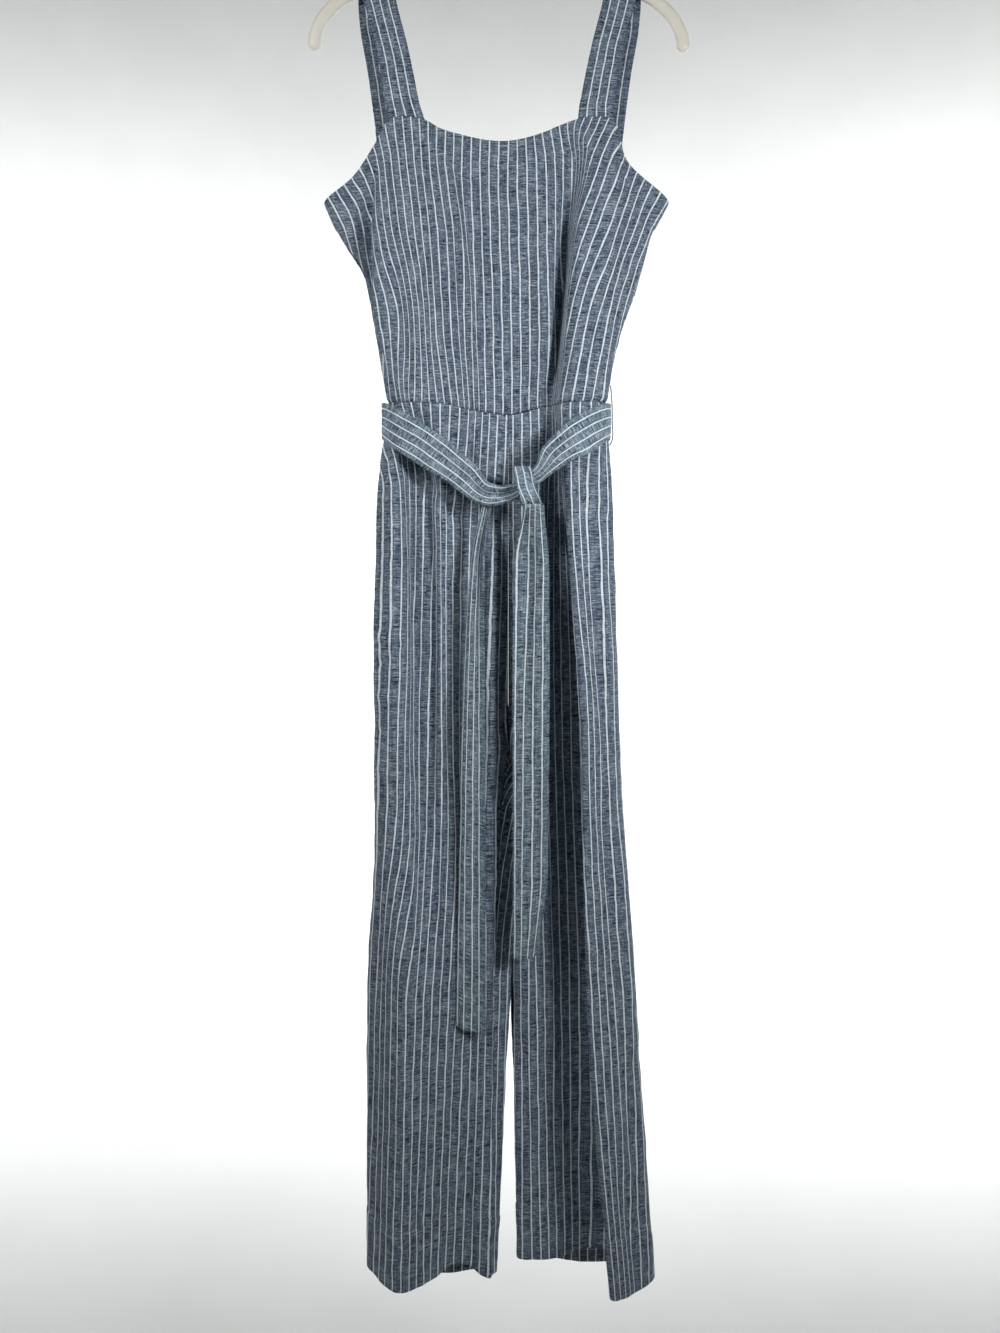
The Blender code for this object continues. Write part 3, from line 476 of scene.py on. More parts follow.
LEG_BACK_RIGHT_CREASES = (
    ("inseam_turn", 22, -900, 22, -1080, 20, -1360, 9.0, 4.5),
    ("seat", 88, -640, 56, -700, 22, -770, 9.0, -2.6),
    ("thigh", 110, -880, 104, -1040, 108, -1200, 7.0, -1.9),
    ("knee", 60, -1010, 62, -1120, 66, -1270, 8.0, 1.9),
    ("calf", 92, -1270, 100, -1400, 116, -1570, 7.0, -2.2),
)
BODICE_BACK_CREASES = (
    ("blade_left", -80, -370, -66, -430, -60, -520, 9.0, -1.6),
    ("blade_right", 88, -372, 76, -440, 66, -530, 9.0, -1.6),
    ("middle", 12, -400, 8, -470, 14, -560, 10.0, 1.3),
)

# stripes by which the backs' inseams are turned off the straight grain at the
# leg's stations; the turn fades out towards the side seam
INSEAM_SLANT = (0.0, -2.0, -6.4, -1.2, 0.6, 0.6)
INSEAM_FADE = 1.5
BACK_SEAM_STRIPE = 0.5  # place of the centre back seam in the stripes

# the long tail's top edge lies over the wrap's lowest turn
KNOT_TAIL_RISE = 5.5
KNOT_TAIL_REACH = 16.0
KNOT_TAIL_Y = -64.6

# heights across the belt, from its lower edge to its upper one, at each step
BELT_LEFT_SECTIONS = (
    (0, 0, 0, 0, 0, 0, 0),
    (0, 0.6, 0.8, 0.8, 0.7, 0.5, 0),
    (0, 1.2, 1.6, 1.4, 1.0, 1.4, 0.4),
    (0, 1.6, 1.6, 0.6, 1.8, 2.8, 1.0),
    (0.4, 2.4, 1.8, -0.6, 1.4, 3.4, 1.4),
    (0.6, 2.8, 0.8, -3.2, 0.8, 3.4, 0.8),
    (0.4, 2.2, -0.2, -3.2, 0.0, 2.4, 0.4),
    (0.2, 1.2, -0.4, -1.8, -0.2, 1.2, 0.2),
)
BELT_RIGHT_SECTIONS = (
    (0.2, 0.8, 0.2, -0.8, 0.2, 0.8, 0.2),
    (0.6, 2.0, 0.2, -2.2, 0.8, 2.6, 0.6),
    (0.6, 2.4, 1.2, -1.8, 1.6, 3.4, 0.8),
    (0.0, 1.2, 1.6, 0.6, 1.4, 1.8, 0.4),
    (0, 0.8, 1.2, 1.0, 0.8, 0.6, 0),
    (0, 0.4, 0.6, 0.6, 0.4, 0.2, 0),
    (0, 0, 0, 0, 0, 0, 0),
)
KNOT_SECTIONS = (
    (0.0, 0.8, 0.2, -0.6, 0.6, 1.0, 0.0),
    (-0.6, 1.2, 0.6, -0.8, 1.2, 1.4, -0.4),
    (-0.8, 1.4, 1.0, -0.4, 1.0, 1.6, -0.6),
    (-0.6, 1.4, 0.6, -0.6, 1.2, 1.4, -0.4),
    (0.0, 0.8, 0.2, -0.6, 0.6, 1.0, 0.0),
    (0.0, 0.4, 0.2, 0.0, 0.2, 0.4, 0.0),
    (0.0, 0.2, 0.2, 0.0, 0.2, 0.2, 0.0),
    (0.0, 0.4, 0.2, 0.0, 0.2, 0.4, 0.0),
)

# ---------------------------------------------------------- stripe numbers
# The number of the stripe on each fold line at the panel's stations; stripes
# lie at the whole numbers, one STRIPE_PITCH apart in the flat cloth.
COUNTS = {
    "bodice_front": (
        # line, top, chest, bust, rib, waist; 0 is the stripe at the centre
        ("side_left", -22.9, -23.0, -20.8, -20.8, -19.4),
        ("wing_left", -18.7, -19.7, -19.1, -20.1, -19.0),
        ("wing_fold", -15.9, -17.3, -19.0, -19.6, -17.7),
        ("strap_outer_left", -13.5, -14.0, -14.9, -17.0, -14.2),
        ("strap_inner_left", -9.4, -9.6, -9.9, -10.1, -11.2),
        ("ridge_left", -7.55, -7.05, -7.2, -7.0, -7.5),
        ("valley_left", -5.7, -5.0, -4.4, -3.9, -3.4),
        ("centre", 0.0, 0.1, -0.1, -0.3, -0.4),
        ("ridge_right", 3.75, 4.4, 4.75, 4.15, 3.3),
        ("valley_right", 6.3, 7.1, 6.6, 5.5, 4.5),
        ("flap_lip", 8.25, 11.7, 13.0, 14.7, 15.9),
        ("flap_middle", 12.5, 14.0, 15.5, 17.2, 17.9),
        ("wing_right", 15.1, 16.9, 18.2, 19.3, 19.8),
        ("side_right", 21.6, 21.6, 22.4, 21.5, 20.9),
    ),
    "trouser_front_left": (
        # line, waist, seat, crotch, thigh, knee, hem; 17 lies beside the centre seam
        ("side", 3.2, -2.0, -2.3, -2.2, -2.2, -0.9),
        ("edge", 3.4, -0.5, -0.6, -0.5, -0.5, 1.0),
        ("edge_front", 4.4, 0.1, 0.0, 0.1, 1.3, 2.2),
        ("outer_ridge", 5.1, 0.9, 1.4, 1.9, 5.3, 5.4),
        ("outer_valley", 6.5, 4.7, 6.1, 6.4, 8.5, 10.6),
        ("mid_ridge", 8.8, 9.0, 9.6, 9.9, 11.8, 13.0),
        ("mid_valley", 11.6, 12.9, 15.0, 15.0, 14.0, 14.7),
        ("inner_ridge", 15.35, 16.1, 16.2, 16.2, 15.9, 16.5),
        ("centre", 17.2, 17.5, 18.2, 17.7, 17.0, 17.2),
    ),
    "trouser_front_right": (
        # 0 lies beside the centre seam, 16 on the lip of the outer flap
        ("centre", -0.5, -0.5, -0.5, 0.6, -0.5, 0.3),
        ("inner_ridge", 1.05, 1.1, 1.3, 1.7, 1.8, 2.2),
        ("recess_lip", 3.25, 3.3, 4.25, 4.25, 4.5, 4.9),
        ("recess_floor", 4.5, 5.3, 6.2, 6.2, 7.1, 8.6),
        ("recess_back", 6.0, 9.0, 10.0, 10.1, 9.7, 10.5),
        ("flap_lip", 15.7, 16.0, 16.3, 16.3, 15.7, 15.7),
        ("flap_middle", 18.4, 18.8, 19.3, 19.2, 18.75, 20.3),
        ("edge", 21.3, 22.0, 22.0, 22.0, 22.1, 22.7),
        ("side", 21.5, 23.7, 24.0, 24.2, 24.5, 26.2),
    ),
}

# ------------------------------------------------------------- curve helpers
def size(v):
    """Length of each vector, never quite zero."""
    return np.maximum(np.linalg.norm(v, axis=-1, keepdims=True), 1e-9)


def unit(v):
    return v / size(v)


def smoothstep(low, high, x):
    t = np.clip((x - low) / (high - low), 0.0, 1.0)
    return t * t * (3 - 2 * t)


def ridge(away, height, place, half_width):
    """A soft ridge (height > 0) or groove (height < 0) at some distance."""
    return height * np.exp(-((away - place) / half_width) ** 2)


def cubic(t):
    """Shares of a curve's two ends and of its slopes there."""
    return (1 + 2 * t) * (1 - t) ** 2, t * t * (3 - 2 * t), t * (1 - t) ** 2, t * t * (t - 1)


def eased(knots, values, places):
    """Monotone cubic through (knots, values): folds drift without overshoot."""
    knots = np.asarray(knots, float)
    values = np.asarray(values, float)
    steps = np.diff(knots)
    rises = np.diff(values) / steps
    slopes = np.zeros(len(knots))
    slopes[0] = rises[0]
    slopes[-1] = rises[-1]
    for i in range(1, len(knots) - 1):
        if rises[i - 1] * rises[i] > 0:
            near = 2 * steps[i] + steps[i - 1]
            far = steps[i] + 2 * steps[i - 1]
            slopes[i] = (near + far) / (near / rises[i - 1] + far / rises[i])
    places = np.clip(places, knots[0], knots[-1])
    i = np.clip(np.searchsorted(knots, places, side="right") - 1, 0, len(knots) - 2)
    keep, take, lead, tail = cubic((places - knots[i]) / steps[i])
    return (keep * values[i] + take * values[i + 1]
            + lead * steps[i] * slopes[i] + tail * steps[i] * slopes[i + 1])


def line_ways(points, ends=(None, None), closed=False):
    """Ways along a line of points; ends may state those of its first and last point."""
    if closed:
        return np.roll(points, -1, axis=0) - np.roll(points, 1, axis=0)
    ways = np.empty_like(points)
    ways[1:-1] = points[2:] - points[:-2]
    ways[0] = points[1] - points[0] if ends[0] is None else ends[0]
    ways[-1] = points[-1] - points[-2] if ends[1] is None else ends[1]
    return ways


def smooth_line(points, span, ends=(None, None), closed=False):
    """Soft curves through points[k], each of which may hold one point for every row."""
    points = np.asarray(points, float)
    count = len(points)
    ways = unit(line_ways(points, ends, closed))
    for i in range(count) if closed else range(1, count - 1):
        before = points[i] - points[i - 1]
        after = points[(i + 1) % count] - points[i]
        back = size(before)
        ahead = size(after)
        ways[i] = (before * ahead / back + after * back / ahead) / (back + ahead)
    result = []
    for i in range(count if closed else count - 1):
        j = (i + 1) % count
        length = size(points[j] - points[i])
        for k in range(span):
            keep, take, lead, tail = cubic(k / span)
            result.append(points[i] * keep + points[j] * take
                          + (ways[i] * lead + ways[j] * tail) * length)
    if not closed:
        result.append(points[-1])
    return np.array(result)


def seam_point(seam, x):
    """y and z of a waist seam at x."""
    knots, ys, zs = zip(*seam)
    return float(eased(knots, ys, x)), float(eased(knots, zs, x))


def path_length(points):
    """Distance along a line of points, from its start."""
    steps = np.linalg.norm(np.diff(points, axis=0), axis=-1)
    return np.concatenate([np.zeros((1,) + steps.shape[1:]), np.cumsum(steps, axis=0)])


def along_line(places, reach, points):
    """Points at some places of a line whose own points lie at reach."""
    return np.stack([np.interp(places, reach, points[:, k]) for k in range(3)], axis=-1)


def soft_noise(x, y, seed):
    """Smooth random heights between -1 and 1 with one bump to each unit of x and y."""
    x = x - x.min()
    y = y - y.min()
    lattice = np.random.default_rng(seed).uniform(-1, 1, (int(y.max()) + 3, int(x.max()) + 3))
    i = x.astype(int)
    j = y.astype(int)
    u = smoothstep(0, 1, x - i)
    v = smoothstep(0, 1, y - j)
    top = lattice[j, i] * (1 - u) + lattice[j, i + 1] * u
    low = lattice[j + 1, i] * (1 - u) + lattice[j + 1, i + 1] * u
    return top * (1 - v) + low * v


# ------------------------------------------------------------- cloth shells
def grid_normals(grid, end_ways=(None, None), ring=False):
    """Normals of a grid (rows, columns, 3); they point to the garment's inside."""
    across = line_ways(grid.swapaxes(0, 1), end_ways).swapaxes(0, 1)
    return unit(np.cross(across, line_ways(grid, closed=ring)))


def make_mesh(name, vertices, faces, looks, place=None):
    mesh = bpy.data.meshes.new(name)
    mesh.from_pydata((vertices * MM).tolist(), [], faces)
    mesh.polygons.foreach_set("use_smooth", [True] * len(mesh.polygons))
    if place is not None:
        cloth = mesh.attributes.new("cloth", "FLOAT_VECTOR", "POINT")
        cloth.data.foreach_set("vector", place.astype(np.float32).ravel())
    item = bpy.data.objects.new(name, mesh)
    bpy.context.scene.collection.objects.link(item)
    mesh.materials.append(looks)
    return item


def rim_loops(rows, columns, ring):
    """Row and column of each point round a grid's open edges, one pair for a loop."""
    down = np.arange(rows)
    along = np.arange(columns)
    if ring:
        return [(down, np.full(rows, columns - 1)), (-down % rows, np.zeros(rows, int))]
    return [(np.concatenate([np.zeros(columns - 1, int), down[:-1],
                             np.full(columns - 1, rows - 1), down[:0:-1]]),
             np.concatenate([along[:-1], np.full(rows - 1, columns - 1),
                             along[:0:-1], np.zeros(rows - 1, int)]))]


def shell(name, grid, lift, wall, place, looks, rims, end_ways=(None, None), ring=False):
    """A closed thin wall on a grid of points.

    lift moves the cloth outward by so many millimetres at each point, place is
    its position in the flat cloth, and rims say how far its upper, lower, first
    and last edges are rounded out.  ring joins the last row to the first; a
    ring's rows run the other way round, so its faces are turned.
    """
    rows, columns = grid.shape[:2]
    normals = grid_normals(grid, end_ways, ring)
    if ring:
        normals = -normals
    middle = grid - normals * lift[..., None]
    half = normals * np.broadcast_to(np.asarray(wall, float) / 2, grid.shape[:2])[..., None]
    index = np.arange(rows * columns).reshape(rows, columns)
    if ring:
        index = np.vstack([index, index[:1]])
    a, b, c, d = (corner.ravel() for corner in (index[:-1, :-1], index[:-1, 1:],
                                                index[1:, 1:], index[1:, :-1]))
    back = rows * columns
    sheets = [np.stack([a, d, c, b], axis=1), np.stack([a, b, c, d], axis=1)]
    if ring:
        sheets.reverse()
    faces = [sheets[0], sheets[1] + back]
    points = [(middle - half).reshape(-1, 3), (middle + half).reshape(-1, 3)]
    places = [place.reshape(-1, 3)] * 2
    total = 2 * back
    for r, c in rim_loops(rows, columns, ring):
        reach = np.zeros((len(r), 3))
        for beside, row_step, column_step, rim in (
                (r == 0, 1, 0, rims[0]), (r == rows - 1, -1, 0, rims[1]),
                (c == 0, 0, 1, rims[2]), (c == columns - 1, 0, -1, rims[3])):
            edge = middle[r[beside], c[beside]]
            inside = middle[r[beside] + row_step, c[beside] + column_step]
            reach[beside] += unit(edge - inside) * rim
        points.append(middle[r, c] + reach)
        places.append(place[r, c])
        ids = r * columns + c
        mid = total + np.arange(len(ids))
        total += len(ids)
        next_ids = np.roll(ids, -1)
        next_mid = np.roll(mid, -1)
        for strip in (np.stack([ids, next_ids, next_mid, mid], axis=1),
                      np.stack([mid, next_mid, next_ids + back, ids + back], axis=1)):
            faces.append(strip[:, ::-1] if ring else strip)
    return make_mesh(name + "_cloth", np.vstack(points), np.vstack(faces).tolist(), looks,
                     np.vstack(places))


# ------------------------------------------------------- folds and creases
def crease_lift(grid, creases):
    """Soft ridges (height > 0) and troughs (height < 0) along bent lines.

    A crease starts at x1, z1, passes near x2, z2 and ends at x3, z3; it fades
    out towards both ends.
    """
    lift = np.zeros(grid.shape[:2])
    x = grid[..., 0]
    z = grid[..., 2]
    t = np.linspace(0, 1, CREASE_STEPS + 1)
    for _, x1, z1, x2, z2, x3, z3, half_width, height in creases:
        reach = CREASE_REACH * half_width
        near = ((x > min(x1, x2, x3) - reach) & (x < max(x1, x2, x3) + reach)
                & (z > min(z1, z2, z3) - reach) & (z < max(z1, z2, z3) + reach))
        if not near.any():
            continue
        best = np.full(near.sum(), np.inf)
        place = np.zeros(best.shape)
        line_x = (1 - t) ** 2 * x1 + 2 * t * (1 - t) * x2 + t * t * x3
        line_z = (1 - t) ** 2 * z1 + 2 * t * (1 - t) * z2 + t * t * z3
        for i in range(CREASE_STEPS):
            step_x = line_x[i + 1] - line_x[i]
            step_z = line_z[i + 1] - line_z[i]
            from_x = x[near] - line_x[i]
            from_z = z[near] - line_z[i]
            along = (from_x * step_x + from_z * step_z) / (step_x ** 2 + step_z ** 2)
            along = np.clip(along, 0, 1)
            gap = np.hypot(from_x - along * step_x, from_z - along * step_z)
            closer = gap < best
            best[closer] = gap[closer]
            place[closer] = ((i + along) / CREASE_STEPS)[closer]
        fade = np.sin(np.pi * np.clip(place, 0.0, 1.0)) ** CREASE_FADE
        lift[near] += ridge(best, height, 0.0, half_width) * fade
    return lift


def crinkle(place, layer, strength):
    """The small unevenness of worn linen, longer down the cloth than across it."""
    total = 0
    for k, (height, wide, long) in enumerate(CRINKLES):
        total = total + height * soft_noise(place[..., 0] / wide, place[..., 1] / long,
                                            layer + 1 + k)
    return strength * total


def seam_groove(away):
    """The cloth dips where it turns in at a sewn seam, and swells beyond it."""
    return ridge(away, *SEAM_DIP) + ridge(away, *SEAM_SWELL)


def measured_across(grid, column, stripe):
    """Distance across the flat cloth, from a column that lies on a known stripe."""
    lengths = path_length(grid.transpose(1, 0, 2)).T
    return lengths - lengths[:, column][:, None] + stripe * STRIPE_PITCH


def counted_across(grid, span, share, stations, counts):
    """Distance across the flat cloth, from the stripe numbers of each fold line."""
    lengths = path_length(grid.transpose(1, 0, 2)).T
    result = np.empty_like(lengths)
    targets = [eased(stations, row[1:], share) * STRIPE_PITCH for row in counts]
    for k in range(len(counts) - 1):
        part = lengths[:, k * span:(k + 1) * span + 1]
        part = (part - part[:, :1]) / np.maximum(part[:, -1:] - part[:, :1], 1e-6)
        result[:, k * span:(k + 1) * span + 1] = (
            targets[k][:, None] + (targets[k + 1] - targets[k])[:, None] * part)
    return result


def back_across(grid, share, from_side):
    """Distance across a trouser back, whose inseam is turned off the straight grain."""
    across = measured_across(grid, -1 if from_side else 0, BACK_SEAM_STRIPE)
    slant = eased(LEG_STATIONS, INSEAM_SLANT, share) * STRIPE_PITCH
    last = grid.shape[1] - 1
    beside = 1 - np.clip((np.arange(last + 1) - LEG_SPAN) / (last - LEG_SPAN), 0, 1)
    if from_side:
        slant = -slant
        beside = beside[::-1]
    return across + slant[:, None] * beside ** INSEAM_FADE


# ---------------------------------------------------------------- the panels
def fold_line(cell, places, stations, first_z, last_z, share):
    """Points of one fold: x and y ease from station to station, z runs evenly."""
    return np.stack([eased(stations, [cell[place + "_x"] for place in places], share),
                     eased(stations, [cell[place + "_y"] for place in places], share),
                     first_z + (last_z - first_z) * share], axis=1)


def panel_folds(lines, columns, places, stations, seam, share):
    """Points of each fold line; the waist seam gives its y and z at the waist."""
    points = []
    for line in lines:
        cell = dict(zip(columns, line))
        cell["waist_y"], waist_z = seam_point(seam, cell["waist_x"])
        first_z = cell.get("top_z", waist_z - SEAM_GAP / 2)
        last_z = cell.get("hem_z", waist_z + SEAM_GAP / 2)
        points.append(fold_line(cell, places, stations, first_z, last_z, share))
    return points


def panel_grid(points, span, start, end):
    """A panel's grid and end ways; its two edges are drawn in from their seams."""
    grid = smooth_line(points, span, (start, end))
    grid[0] += start * SEAM_GAP / 2
    grid[-1] -= end * SEAM_GAP / 2
    return grid.transpose(1, 0, 2), (start, end)


def leg_panel(lines, seam, front):
    """A trouser panel's grid and end ways, and its rows' shares of the length."""
    share = np.linspace(0.0, 1.0, LEG_ROWS + 1)
    points = panel_folds(lines, LEG_COLUMNS, LEG_PLACES, LEG_STATIONS, seam, share)
    # the side seam runs straight back; the centre seam runs across above the
    # crotch and turns back as the inseam below it; a back turns the other way
    turn = smoothstep(*CROTCH_TURN, share)[:, None]
    sense = 1.0 if front else -1.0
    from_side = lines[0][0] == "side"
    backward = np.tile((0.0, sense, 0.0), (LEG_ROWS + 1, 1))
    inward = np.tile((sense if from_side else -sense, 0.0, 0.0), (LEG_ROWS + 1, 1))
    centre = unit(inward * (1 - turn) + backward * turn)
    start, end = (-backward, centre) if from_side else (-centre, backward)
    return panel_grid(points, LEG_SPAN, start, end) + (share,)


def bodice_panel(lines, seam, front, span):
    """A bodice panel's grid and end ways, and its rows' shares of the length."""
    share = np.linspace(0.0, 1.0, BODICE_ROWS + 1)
    points = panel_folds(lines, BODICE_COLUMNS, BODICE_PLACES, BODICE_STATIONS, seam, share)
    start = np.tile((0.0, -1.0 if front else 1.0, 0.0), (BODICE_ROWS + 1, 1))
    return panel_grid(points, span, start, -start) + (share,)


# ----------------------------------------------------------------- the bands
def band_form(path, ends=(None, None), closed=False, level=False):
    """A flat band along a path of (name, x, y, z, width, rise), its face turned outward.

    The cloth of a level band runs across in x, and climbs by its rise.
    """
    line = smooth_line([[row[1:4]] for row in path], BAND_STEP, ends, closed)
    way = unit(line_ways(line, ends, closed))[:, 0]
    centres = line[:, 0]
    count = len(centres)
    steps = len(path) if closed else len(path) - 1
    place = np.minimum(np.arange(count) / BAND_STEP, steps - 1e-9)
    low = place.astype(int)
    ease = smoothstep(0, 1, place - low)

    def along(column):
        values = np.array([row[column] for row in path], float)
        return values[low] * (1 - ease) + values[(low + 1) % len(path)] * ease

    if level:
        across = np.tile((1.0, 0.0, 0.0), (count, 1))
        if len(path[0]) > 5:
            across[:, 2] = along(5)
    else:
        outward = unit(np.stack([way[:, 1], -way[:, 0], np.zeros(count)], axis=1))
        across = unit(np.cross(outward, way))
        across[across[:, 2] < 0] *= -1
    share = np.linspace(0, 1, BAND_COLUMNS + 1) - 0.5
    grid = centres[:, None] + across[:, None] * (along(4)[:, None, None] * share[None, :, None])
    return grid, place


def section_lift(sections, place):
    """Lift across a band from a table with a row of heights for each step of its path."""
    knots = np.arange(len(sections))
    heights = np.array(sections, float).T
    along = np.stack([eased(knots, column, place) for column in heights], axis=1)
    across = np.linspace(0, 1, BAND_COLUMNS + 1)
    stops = np.linspace(0, 1, len(heights))
    return np.stack([eased(stops, row, across) for row in along])


def tail_form(lines, top_z):
    share = np.linspace(0.0, 1.0, TAIL_ROWS + 1)
    cells = [dict(zip(TAIL_COLUMNS, line)) for line in lines]
    points = [fold_line(cell, TAIL_PLACES, TAIL_STATIONS, top_z, cell["end_z"], share)
              for cell in cells]
    return smooth_line(points, TAIL_SPAN).transpose(1, 0, 2)


def mirrored(path, shift):
    """The same strap on the other side of the hanger, moved by shift."""
    return tuple((row[0], shift - row[1]) + row[2:5] + (-row[5],) for row in path)


def band_place(grid, cloth_width, first_stripe, layer):
    """Flat cloth places of a band whose stripes run along it."""
    rows, columns = grid.shape[:2]
    down = path_length(grid[:, columns // 2])
    across = np.linspace(0, cloth_width, columns) + first_stripe
    return np.stack([np.broadcast_to(across, (rows, columns)),
                     np.broadcast_to(down[:, None], (rows, columns)),
                     np.full((rows, columns), layer)], axis=2)


# ------------------------------------------------------------------ the bars
def bars(name, parts, sides, looks):
    """Closed bars along lines.

    Each part is a bar's centres, its ways to the side and in depth, and its half
    widths that way.
    """
    angle = np.linspace(0, 2 * math.pi, sides, endpoint=False)
    vertices = []
    faces = []
    first = 0
    for centres, side, depth, radii in parts:
        side = np.broadcast_to(side, centres.shape)[:, None]
        depth = np.broadcast_to(depth, centres.shape)[:, None]
        radii = np.broadcast_to(radii, (len(centres), 2))
        rings = (side * (radii[:, :1] * np.cos(angle))[..., None]
                 + depth * (radii[:, 1:] * np.sin(angle))[..., None])
        vertices.append((centres[:, None] + rings).reshape(-1, 3))
        last = first + (len(centres) - 1) * sides
        for ring in range(first, last, sides):
            for k in range(sides):
                a = ring + k
                b = ring + (k + 1) % sides
                faces.append((a, b, b + sides, a + sides))
        faces.append(tuple(range(first, first + sides))[::-1])
        faces.append(tuple(range(last, last + sides)))
        first = last + sides
    return make_mesh(name, np.vstack(vertices), faces, looks)


def tube(name, centres, radii, sides, looks):
    """A closed oval bar along a line of points that share one y."""
    way = unit(line_ways(centres))
    side = unit(np.cross((0.0, 1.0, 0.0), way))
    return bars(name, [(centres, side, unit(np.cross(way, side)), radii)], sides, looks)


def stitches(name, line, outward, looks):
    """A row of sewn stitches along a line that lies on the cloth."""
    reach = path_length(line)
    count = int(reach[-1] / STITCH_PITCH)
    along, swell = np.array(STITCH_RINGS).T[..., None]
    parts = []
    for n in range(count):
        at = (n + 0.5) * reach[-1] / count
        a, b = along_line((at - STITCH_LENGTH / 2, at + STITCH_LENGTH / 2), reach, line)
        out = unit(along_line(at, reach, outward))
        centres = (a + b) / 2 + (b - a) * along + out * STITCH_RADIUS / 2
        parts.append((centres, unit(np.cross(out, unit(b - a))), out, STITCH_RADIUS * swell))
    return bars(name, parts, STITCH_SIDES, looks)


def twisted_thread(name, path, looks):
    """Two plies twisted round each other along a path."""
    centres = smooth_line([[row[1:4]] for row in path], THREAD_STEP)[:, 0]
    reach = path_length(centres)
    way = unit(np.gradient(centres, axis=0))
    side = unit(np.cross(way, (0.0, 1.0, 0.0)))
    depth = unit(np.cross(way, side))
    parts = []
    for ply in (0, 1):
        turn = (reach / PLY_PITCH * 2 * math.pi + ply * math.pi)[:, None]
        line = centres + (side * np.cos(turn) - depth * np.sin(turn)) * THREAD_LOOP_RADIUS / 2
        parts.append((line, side, depth, PLY_RADIUS))
    return bars(name, parts, PLY_SIDES, looks)


# ------------------------------------------------------------------- looks
class Shader:
    """A material's node tree, with short ways to add nodes to it."""

    def __init__(self, name, roughness, metallic=0.0):
        self.material = bpy.data.materials.new(name)
        self.material.use_nodes = True
        self.nodes = self.material.node_tree.nodes
        self.links = self.material.node_tree.links
        self.surface = self.nodes["Principled BSDF"]
        self.tune({"Roughness": roughness, "Metallic": metallic})

    def put(self, node, socket, value):
        if isinstance(value, bpy.types.NodeSocket):
            self.links.new(value, node.inputs[socket])
        elif value is not None:
            node.inputs[socket].default_value = value

    def tune(self, values):
        """Sets sockets of the shader itself, to numbers or from other nodes."""
        for socket, value in values.items():
            self.put(self.surface, socket, value)

    def math(self, operation, first, second=None, clamp=False):
        node = self.nodes.new("ShaderNodeMath")
        node.operation = operation
        node.use_clamp = clamp
        self.put(node, 0, first)
        self.put(node, 1, second)
        return node.outputs[0]

    def add(self, first, second):
        return self.math("ADD", first, second)

    def times(self, first, second):
        return self.math("MULTIPLY", first, second)

    def place(self, x, y, z):
        node = self.nodes.new("ShaderNodeCombineXYZ")
        for socket, value in enumerate((x, y, z)):
            self.put(node, socket, value)
        return node.outputs[0]

    def noise(self, vector, detail=2.0, roughness=0.5):
        node = self.nodes.new("ShaderNodeTexNoise")
        for socket, value in (("Vector", vector), ("Scale", 1.0), ("Detail", detail),
                              ("Roughness", roughness)):
            self.put(node, socket, value)
        return node.outputs["Fac"]

    def object_noise(self, scales, detail=2.0, roughness=0.5):
        """Noise in the object's own space, with a scale for each axis."""
        source = self.nodes.new("ShaderNodeTexCoord")
        stretch = self.nodes.new("ShaderNodeMapping")
        self.put(stretch, "Scale", scales)
        self.put(stretch, "Vector", source.outputs["Object"])
        return self.noise(stretch.outputs["Vector"], detail, roughness)

    def ramp(self, value, low, high, to_low=0.0, to_high=1.0, smooth=True):
        node = self.nodes.new("ShaderNodeMapRange")
        node.interpolation_type = "SMOOTHSTEP" if smooth else "LINEAR"
        for socket, number in (("Value", value), ("From Min", low), ("From Max", high),
                               ("To Min", to_low), ("To Max", to_high)):
            self.put(node, socket, number)
        return node.outputs["Result"]

    def mix(self, factor, first, second):
        node = self.nodes.new("ShaderNodeMix")
        node.data_type = "RGBA"
        self.put(node, 0, factor)
        for socket, value in ((6, first), (7, second)):
            self.put(node, socket, value if isinstance(value, bpy.types.NodeSocket)
                     else (*value, 1.0))
        return node.outputs[2]

    def bump(self, height, distance, strength):
        node = self.nodes.new("ShaderNodeBump")
        for socket, value in (("Distance", distance), ("Strength", strength),
                              ("Height", height)):
            self.put(node, socket, value)
        self.tune({"Normal": node.outputs["Normal"]})


# The linen's flecks: scales across and down the cloth, shift, detail and
# roughness of the noise, then its range and the two values that it maps to.
FLECKS = {
    "stripe_drift": (0.02, 0.03, 3.0, 2.0, 0.5, 0.30, 0.70, -0.35, 0.35),
    "stripe_rag": (0.30, 0.45, 7.0, 3.0, 0.5, 0.30, 0.70, -0.13, 0.13),
    "stripe_wear": (0.20, 0.12, 11.0, 3.0, 0.5, 0.28, 0.62, 0.78, 1.0),
    "pale_weft": (0.11, 0.68, 17.0, 2.0, 0.6, 0.53, 0.63, 0.0, 1.0),
    "dark_weft": (0.09, 0.60, 23.0, 2.0, 0.6, 0.53, 0.63, 0.0, 1.0),
    "long_weft": (0.035, 0.85, 41.0, 2.0, 0.5, 0.58, 0.68, 0.0, 1.0),
    "warp": (0.75, 0.03, 29.0, 2.0, 0.5, 0.30, 0.70, -0.12, 0.12),
    "grain": (0.60, 0.60, 31.0, 2.0, 0.7, 0.25, 0.75, -0.24, 0.24),
    "broad": (0.06, 0.05, 37.0, 3.0, 0.5, 0.30, 0.70, -0.09, 0.09),
}
WEFT_TONES = {"pale_weft": 0.46, "long_weft": 0.35, "dark_weft": -0.46}
GROUND_TONE = 0.45
LINEN_DARK = (0.024, 0.036, 0.060)      # between the slubs
LINEN_MID = (0.136, 0.178, 0.242)
LINEN_PALE = (0.400, 0.455, 0.515)      # bare weft in the slubs
STRIPE_WHITE = (0.86, 0.94, 0.99)
CLOTH_TINT = (1.0, 1.0, 1.0)
# the belt's linen is paler and greener than the jumpsuit's: partly its own paler cloth, partly
# painted light for the light it catches where it faces up and out
BELT_TINT_AND_LIGHT = (1.34, 1.40, 1.30)
TAIL_TINT = (1.06, 1.12, 1.04)
